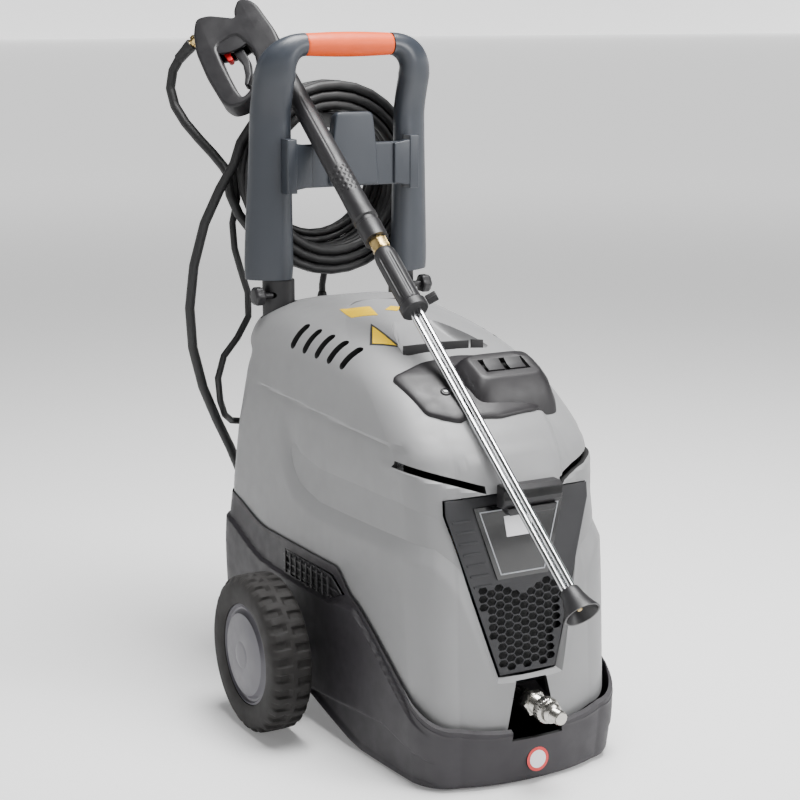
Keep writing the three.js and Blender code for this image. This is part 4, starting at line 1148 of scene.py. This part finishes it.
def add_control_cap(tree):
    edge = np.array(softened(CAP_OUTLINE, 8, 6))
    middle = np.array([0, -200.0])
    out = np.array([0, -0.35, 0.93])
    rings = []
    for scale, rise in CAP_LEVELS:
        plan = middle + (edge - middle) * scale
        rings.append([surface_under(tree, x, y)[0] + out * rise for x, y in plan])
    keep(ring_piece("control_cap_fine", rings, "cap", 30))
    add_switch_pad()
    add_rockers()
    place = surface_under(tree, -58, -214, 8.0)
    lamp = rounded([(0, -4), (7.5, -4), (7.5, 1.0), (6, 2.0), (0, 2.6)], 0.8)
    keep(lathe("lamp", lamp, *place, "black", 32))
    lens = rounded([(0, 1.0), (5.0, 1.0), (4.4, 3.0), (0, 3.6)], 0.8)
    keep(lathe("lamp_lens", lens, *place, "gloss", 32))


def film(tree, name, outline, look, rise=0.35):
    """Thin label lying on the hood: a grid across a quad, or across a triangle with a corner named twice."""
    steps, thick = 8, 0.25
    a, b, c, d = [np.array(p, float) for p in outline]
    top, under = [], []
    for i in range(steps + 1):
        for j in range(steps + 1):
            u, v = i / steps, j / steps
            x, y = (1 - v) * ((1 - u) * a + u * b) + v * ((1 - u) * d + u * c)
            point, normal = surface_under(tree, x, y)
            top.append(point + normal * (rise + thick))
            under.append(point + normal * rise)
    wide = steps + 1
    n = wide ** 2
    faces = []
    for i in range(steps):
        for j in range(steps):
            k = i * wide + j
            quad = (k, k + 1, k + wide + 1, k + wide)
            faces += [quad, tuple(n + m for m in reversed(quad))]
    border = [*range(wide), *range(2 * wide - 1, n, wide), *range(n - 2, n - wide - 1, -1)]
    border += range(n - 2 * wide, 0, -wide)
    faces += [(q, r, n + r, n + q) for q, r in zip(border, border[1:] + border[:1])]
    piece = mesh_piece(name, top + under, faces, look, 30)
    keep(orient(piece, 1e-5))


def add_labels(tree):
    film(tree, "label_long", [(-73, 33), (-71, 76), (-26, 65), (-35, 22)], "yellow")
    film(tree, "label_small", [(-13, 42), (6, 58), (20, 47), (2, 32)], "yellow")
    film(tree, "label_triangle_edge", [(-62, -6), (-98, -71), (-63, -100), (-63, -100)], "edge", 0.3)
    film(tree, "label_triangle", [(-66, -19), (-93, -70), (-67, -92), (-67, -92)], "yellow", 0.6)
    for name, radius, out, look in (("disc_ring", 17, 0.9, "ring_red"), ("disc_face", 12.6, 1.2, "white")):
        keep(rod(name, radius, 0, 0.3, (0, -368.8 - out, 34), (0, -1, 0.035), look, 64))


# ------------------------------------------------------------------ wheels
TYRE = {"radius": 115.0, "width": 64.0, "outer": 276.0, "rim": 74.0}


def add_wheels():
    w, r = TYRE["width"], TYRE["radius"]
    groove = 113.2
    tyre = [(TYRE["rim"] + 0.3, 5), (80, 2.2), (88, 0.8), (98, 0.6), (104, 1.6), (107, 3.2), (109.5, 5.4),
            (111.5, 8), (112.6, 10), (112.9, 13), (groove, 18), (groove, 24), (groove, 29)]
    tyre += [(q, w - h) for q, h in reversed(tyre)]
    tyre.append(tyre[0])
    lugs = 30

    def tread(angle, radius, height):
        """Two rows of lugs, half a lug apart, on both sides of a rib."""
        if radius < 107:
            return radius
        across = 0 if height < w / 2 else math.pi
        wave = math.cos(lugs * angle + across + 0.9 * math.sin((height / w - 0.5) * 6))
        near_edge = float(smooth(105, 112, radius))
        lug = 1.0 if abs(height - w / 2) < 4 else float(smooth(-0.35, 0.35, wave))
        return radius + near_edge * ((r - groove) * lug - 2.6 * (1 - lug))

    hub = [(10.1, 6), (24, 2), (30, 16), (66, 16), (TYRE["rim"], 5), (TYRE["rim"], w - 6.5), (71, w - 5),
           (68.6, w - 8.5), (66, w - 9.5), (63.6, w - 8.4), (60, w - 3.6), (50, w - 1.2), (38, w + 0.2),
           (26, w + 0.9), (20, w + 0.6), (18.2, w - 1.5), (10.1, w - 4), (10.1, 6)]
    plug = rounded([(0, 50), (21, 50), (21, w + 0.4), (15, w + 1.3), (0, w + 1.8)], 0.8)
    for side, sign in (("left", -1), ("right", 1)):
        place = ((sign * (TYRE["outer"] - w), AXLE_Y, AXLE_Z), (sign, 0, 0))
        wheel = f"wheel_{side}"
        keep(lathe(f"tyre_{side}_fine", tyre, *place, "tyre", 360, 38, shape=tread), wheel)
        keep(lathe(f"hub_{side}_fine", hub, *place, "hub", 128, 32), wheel)
        keep(lathe(f"hub_centre_{side}", plug, *place, "hub", 64), wheel)
    shaft = rounded([(0, -262), (10, -262), (10, 262), (0, 262)], 1)
    keep(lathe("axle_fine", shaft, (0, AXLE_Y, AXLE_Z), (1, 0, 0), "steel", 48))


# ------------------------------------------------------------------ handle
POST = {"x": 122.0, "y": 214.0, "foot": 624.0}
BAR = {"y": 182.0, "z": 976.0}
LEG = {"x": 107.0, "y": 212.0, "top": 623.7, "bottom": 70.0}


def handle_lean(z):
    return POST["y"] - 6 * smooth(624, 880, z) - 26 * smooth(860, BAR["z"], z)


def handle_half(sign):
    """One post and its bend into the bar: ovals that turn from the post's lean to the bar."""
    stations = []
    for z in np.linspace(POST["foot"], 928, 40):
        t = smooth(600, 900, z)
        stations.append(((POST["x"] - 3 * t, handle_lean(z), z), 38 - 7 * t, 22 - 3 * t))
    radius = 46
    for k in range(1, 27):
        t = k / 26
        z = BAR["z"] - radius + radius * math.sin(t * math.pi / 2)
        x = POST["x"] - 4 - radius + radius * math.cos(t * math.pi / 2)
        stations.append(((x, handle_lean(z), z), 31 - 14.5 * smooth(0, 1, t), 19 - 2.5 * t))
    centres = [np.array([sign * x, y, z]) for (x, y, z), _, _ in stations]
    last = len(stations) - 1
    rings = []
    for i, (_, a, b) in enumerate(stations):
        tangent = unit(centres[min(last, i + 1)] - centres[max(0, i - 1)])
        if i == 0:
            tangent = np.array([0, 0, 1.0])
        if i == last:
            tangent = np.array([-sign, 0, 0.0])
        blend = float(smooth(0.55, 1, i / last))
        target = np.array([sign * 0.877, 0.48, 0]) * (1 - blend) + np.array([sign * 0.6, 0.35, 0.7]) * blend
        second = unit(np.cross(tangent, target))
        edge = 1 - 0.05 * max(0, 1 - i / 4) ** 2
        rings.append((centres[i], np.cross(second, tangent), second, a * edge, b * edge))
    return sweep(f"handle_half_{sign + 1}", rings, "frame", 64, 2.3)


def add_handle():
    along = ((0, BAR["y"], BAR["z"]), (1, 0, 0))
    handle = handle_half(-1)
    boolean(handle, [handle_half(1), rod("handle_stub", 15.6, -76, 76, *along, "frame", 48)], "UNION", 35)
    groove = [(12.5, -73), (40, -73), (40, 73), (12.5, 73), (12.5, -73)]
    boolean(handle, [lathe("handle_groove", groove, *along, "dark", 48)], sharp=35)
    handle.name = "handle_frame_fine"
    keep(handle)
    crown = [(12.8, -72.7), (15.6, -72.7), (16.8, -70), (17.6, -50), (18.4, -25), (18.7, 0), (18.4, 25),
             (17.6, 50), (16.8, 70), (15.6, 72.7), (12.8, 72.7)]
    crown = rounded(crown, 3)
    crown.append(crown[0])
    keep(lathe("handle_grip_fine", crown, *along, "grip", 72))


def add_legs():
    profile = rounded([(0, -16), (5, -16), (5, 0), (13.4, 0), (15, 3), (15, 12.5), (12, 16.4), (0, 17)], 1.4)

    def lobed(angle, radius, height):
        return radius if radius < 9 else radius * (1 - 0.10 * (0.5 - 0.5 * math.cos(6 * angle)))

    for side, sign in (("left", -1), ("right", 1)):
        main, second = np.array([sign * 0.877, 0.48, 0]), unit((-0.48 * sign, 0.877, 0))
        rings = []
        for z, cut in ((LEG["bottom"], 1.5), (LEG["bottom"] + 2, 0), (LEG["top"] - 2, 0), (LEG["top"], 1.5)):
            rings.append((np.array([sign * LEG["x"], LEG["y"], z]), main, second, 25 - cut, 16 - cut))
        leg = sweep(f"handle_leg_{side}_fine", rings, "black", 48, 2.3)
        stud = (sign * 137, 204, 600)
        boolean(leg, [rod("stud_tool", 5.4, -40, 40, stud, (1, 0, 0), sides=24)])
        keep(leg)
        knob = lathe(f"clamp_knob_{side}_fine", profile, stud, (sign, 0, 0), "black", 120, shape=lobed)
        keep(knob, f"clamp_knob_{side}")


def hook_plate(name, outline, y, thick, bevel=2, steps=3):
    """Upright plate of the bracket between the posts."""
    keep(outline_plate(name, outline, (0, y, 0), *UPRIGHT, thick, "frame", (), bevel, steps))


def add_hook():
    plate = [(110, 764), (110, 829), (37, 829), (31, 873), (-31, 873), (-37, 829), (-110, 829), (-110, 764)]
    cuts = [9 if abs(x) < 40 else 4 for x, _ in plate]
    hook_plate("hook_bracket_fine", softened(plate, cuts, 5), 174.5, 13, 2.2, 4)
    tab = [(-42, 766), (42, 766), (37, 829), (31, 876), (-31, 876), (-37, 829)]
    hook_plate("hook_bracket_tab", softened(tab, 8), 168, 14, 3, 4)
    for sign in (-1, 1):
        end = [(sign * 70, 766), (sign * 110, 760), (sign * 110, 834), (sign * 70, 827)][::sign]
        hook_plate(f"hook_bracket_end_{sign + 1}", end, 170, 13)
        flank = [(sign * 96, 757), (sign * 112, 757), (sign * 112, 838), (sign * 96, 838)][::sign]
        hook_plate(f"hook_bracket_side_{sign + 1}", flank, 176, 28)
    inner = COIL["z"] + COIL["mean"] - 26
    arm = [(181.3, inner), (181.3, inner - 46), (196, inner - 46), (214, inner - 24), (330, inner - 24),
           (346, inner - 16), (346, inner + 16), (337, inner + 16), (337, inner - 2), (330, inner)]
    keep(outline_plate("hose_hook_fine", arm, (COIL["x"], 0, 0), *SIDEWAYS, 28, "black", (), 2, 4))


# outlines in the gun's plane: (along the lance, towards the grip)
GUN = {
    "outline": [(-167, 10), (-158, -5), (-140, -13), (-74, -19), (-32, -15), (-27, 14), (-4, 24), (18, 50),
                (25, 78), (19, 98), (2, 106), (-55, 109), (-112, 106), (-150, 96), (-174, 82), (-168, 62),
                (-136, 27), (-150, 24)],
    "hole": [(-106, 38), (-62, 26), (-36, 30), (-10, 42), (8, 62), (12, 74), (-8, 77), (-60, 77), (-104, 74)],
    "cheek": [(-112, 26), (-80, 26), (-78, 40), (-80, 58), (-90, 78), (-112, 78)],
    "trigger": [(-94, 42), (-80, 38), (-52, 38), (-26, 46), (-10, 58), (-14, 63), (-30, 55), (-54, 50),
                (-74, 54), (-92, 55)],
    "latch": [(-103, 60), (-96, 59), (-72, 60), (-70, 64), (-72, 68), (-98, 70), (-103, 68)],
}
TRIGGER_PIN, LATCH_PIN = (-86, 48), (-98, 64.5)


def gun_plate(name, outline, thick, look, cut, bevel, steps=3, lift=0.0, holes=()):
    """Plate in the gun's plane, lifted from its middle."""
    place = (gun_point(0, 0, lift), LANCE_DIR, LANCE_SIDE)
    soft_holes = [softened(h, cut) for h in holes]
    return outline_plate(name, softened(outline, cut), *place, thick, look, soft_holes, bevel, steps)


def add_gun():
    body = gun_plate("gun_body_fine", GUN["outline"], 32, "black", 11, 5.0, 5, holes=[GUN["hole"]])
    boolean(body, [rod("gun_socket", 15.3, -70, 60, LANCE_START, LANCE_DIR, sides=48)], sharp=32)
    keep(body)
    for k, lift in enumerate((-11, 11)):
        keep(gun_plate(f"gun_cheek_{k}", GUN["cheek"], 5, "black", 5, 0.8, 2, lift))
    keep(rod("trigger_pin", 2.5, -13, 13, gun_point(*TRIGGER_PIN), LANCE_NORMAL, "steel", 24))
    keep(rod("latch_pin", 1.8, -13, 13, gun_point(*LATCH_PIN), LANCE_NORMAL, "steel", 24))
    trigger = gun_plate("trigger_fine", GUN["trigger"], 14, "black", 5, 1.8)
    boolean(trigger, [rod("trigger_hole", 2.9, -16, 16, gun_point(*TRIGGER_PIN), LANCE_NORMAL, sides=24)])
    keep(trigger, "trigger")
    latch = gun_plate("safety_latch_fine", GUN["latch"], 12, "red", 2.5, 1.2)
    boolean(latch, [rod("latch_hole", 2.2, -16, 16, gun_point(*LATCH_PIN), LANCE_NORMAL, sides=24)])
    keep(latch, "safety_latch")
    nut = [(0, 0.5), (7, 0.5), (9, 1.4), (9, 8), (7, 9), *threads(12, 16, 2, 7, 7.8), (7, 20), (0, 20)]
    keep(lathe("gun_inlet_fine", nut, GUN_INLET, INLET_DIR, "brass", 48, shape=hexed(0, 20, 8.8)))
    boot = rounded([(0, 13), (10.2, 13), (10.2, 22), (9.2, 30), (8.6, 48), (0, 48)], 2)
    keep(lathe("hose_boot", boot, GUN_INLET, INLET_DIR, "rubber", 40))


def on_lance(name, profile, look, sides, shape=None):
    """Turned piece about the lance's axis."""
    keep(lathe(name, profile, LANCE_START, LANCE_DIR, look, sides, shape=shape))


def add_lance_grip():
    plain = [(0, -69.5), (15, -69.5), (15, 0), (15.4, 12), (15.6, 60)]
    grooved = [(15.6 + 0.011 * (s - 60), s) for s in range(64, 205, 6)]
    dots = [(17.4, 212 + 1.5 * k) for k in range(37)]
    collar = [(17.6, 268), (17.8, 300), (19, 306), (19, 314), (16, 316), (16, 322), (18, 324), (18.4, 328),
              (18, 354), (0, 354)]

    def dotted(angle, radius, height):
        if 70 < height < 206:
            return radius - 0.5 * float(smooth(0.86, 1.0, math.cos(6 * angle)))
        if 215 < height < 264:
            wave = math.cos(8 * angle) * math.cos((height - 216) * 0.52)
            return radius - 1.1 * float(smooth(0.35, 0.7, wave))
        return radius

    on_lance("lance_grip_fine", plain + grooved + dots + collar, "black", 96, dotted)


def add_pressure_sleeve():
    sheath = [(0, 376.3), (13.5, 376.3), (15, 379), (16, 384)]
    sheath += [(16.9, s) for s in range(390, 472, 8)]
    sheath += [(16.4, 474), (20, 478), (20, 489.5), (18.5, 491), (0, 491)]

    def fluted(angle, radius, height):
        if 386 < height < 472:
            return radius * (1 - 0.10 * float(smooth(0.2, 0.9, math.cos(7 * angle))))
        return radius

    def knurl(angle, radius, height):
        return radius * (1 + 0.03 * math.cos(18 * angle)) if radius > 5 else radius

    on_lance("pressure_sleeve_fine", sheath, "black", 112, fluted)
    knob = rounded([(0, -8), (7, -8), (7, 8), (0, 8)], 1.2)
    piece = lathe("valve_knob_fine", knob, gun_point(484, -28.6), -LANCE_SIDE, "black", 72, shape=knurl)
    keep(piece, "valve_knob")


def add_lance():
    add_lance_grip()
    nut = [(0, 354.3), (12.5, 354.3), (13.5, 356), (13.5, 373), (12.5, 375), (0, 376)]
    on_lance("lance_coupling_fine", nut, "brass", 48, hexed(354, 376, 13, 0.92))
    add_pressure_sleeve()
    for which, t in (("main", 5.2), ("bypass", -5.2)):
        keep(rod(f"lance_tube_{which}_fine", 4.6, 491.3, 966, gun_point(0, t), LANCE_DIR, "steel"))
    guard = [(0, 966.3), (12, 966.3), (13, 968), (14.4, 974), (15.5, 979), (19, 990), (24.4, 1002),
             (24.8, 1004), (22.4, 1004), (21, 1001), (12, 985), (0, 985)]
    on_lance("nozzle_guard_fine", guard, "black", 64)
    tip = [(0, 985.3), (6, 985.3), (6, 992), (4.4, 994), (3, 997), (0, 997)]
    on_lance("nozzle_tip_fine", tip, "brass", 32)


def add_inlet():
    """Water inlet with its turning coupling, seen from the wall towards the front."""
    place = ((0, -318, 111), (0, -1, 0))
    body = [(0, 0), (11, 0), (11, 34), (15.5, 34), (17, 35.5), (17, 45), (15.5, 46.5), (13, 47)]
    body += [*threads(48.5, 57.5, 3, 14, 13), (13, 59), (13, 62), (0, 62)]
    keep(lathe("inlet_fitting_fine", body, *place, "nickel", 48, shape=hexed(34.5, 46, 15)))

    def knurled(angle, radius, height):
        if 64 < height < 77 and radius > 17:
            return radius * (1 + 0.025 * math.cos(24 * angle))
        return radius

    collar = [(0, 62.3), (15, 62.3), (17.4, 64.5), (18, 66), (18, 75), (17.2, 77), (14, 79), (14, 86.5),
              (11.5, 89), *threads(90, 105, 3, 9, 10), (9, 107), (8, 108), (0, 108)]
    piece = lathe("inlet_coupling_fine", collar, *place, "nickel", 96, shape=knurled)
    keep(piece, "inlet_coupling")


def add_outlets():
    rear = (0, 1, 0)
    outlet = [(0, 0), (13, 0), (13, 12), (10.4, 13), (10.4, 46), (8.5, 47), (8.5, 64), (0, 64)]
    flats = hexed(30, 46.5, 10)
    keep(lathe("pressure_outlet_fine", rounded(outlet, 0.8), (-66, 252, 178), rear, "brass", 48, shape=flats))
    gland = [(0, 0), (12.4, 0), (12.4, 34), (9.5, 38), (9.0, 42), (9.6, 43), (8.4, 47), (9.0, 48), (7.9, 52),
             (8.4, 53), (7.2, 58), (7.8, 59), (6.8, 66), (6.6, 72), (0, 72)]
    keep(lathe("lead_gland_fine", gland, (-104, 250, 372), rear, "rubber", 40))

    def fluted(angle, radius, height):
        if radius > 25 and 27 < height < 38.5:
            return radius * (1 - 0.035 * (0.5 + 0.5 * math.cos(16 * angle)))
        return radius

    cap = [(0, 0), (20, 0), (20, 26), (28, 26.3), (29, 27.5), (29, 37.5), (27, 40.4), (0, 41)]
    keep(lathe("fuel_cap_fine", cap, (92, 267, 220), rear, "red", 128, shape=fluted), "fuel_cap")


# nodes inside the machine, whose CAD shape is kept
INSIDE = {"motor": "iron", "motor_rotor": "steel", "pump": "brass", "boiler_drum": "steel",
          "flue_duct": "steel", "burner_blower": "iron", "fuel_tank": "tank", "detergent_tank": "tank",
          "electric_box": "black", "leg_brace": "iron"}

add_camera()
add_studio()
hood_piece = add_hood()
skin = BVHTree.FromObject(hood_piece, bpy.context.evaluated_depsgraph_get())
add_exhaust_grille()
add_base()
add_side_grilles()
add_feet()
add_front_panel()
add_lance_rest()
add_control_cap(skin)
add_labels(skin)
add_wheels()
add_handle()
add_legs()
add_hook()
add_gun()
add_lance()
add_inlet()
add_outlets()
for node, look in INSIDE.items():
    carried(node, look)
add_hose()
add_lead()
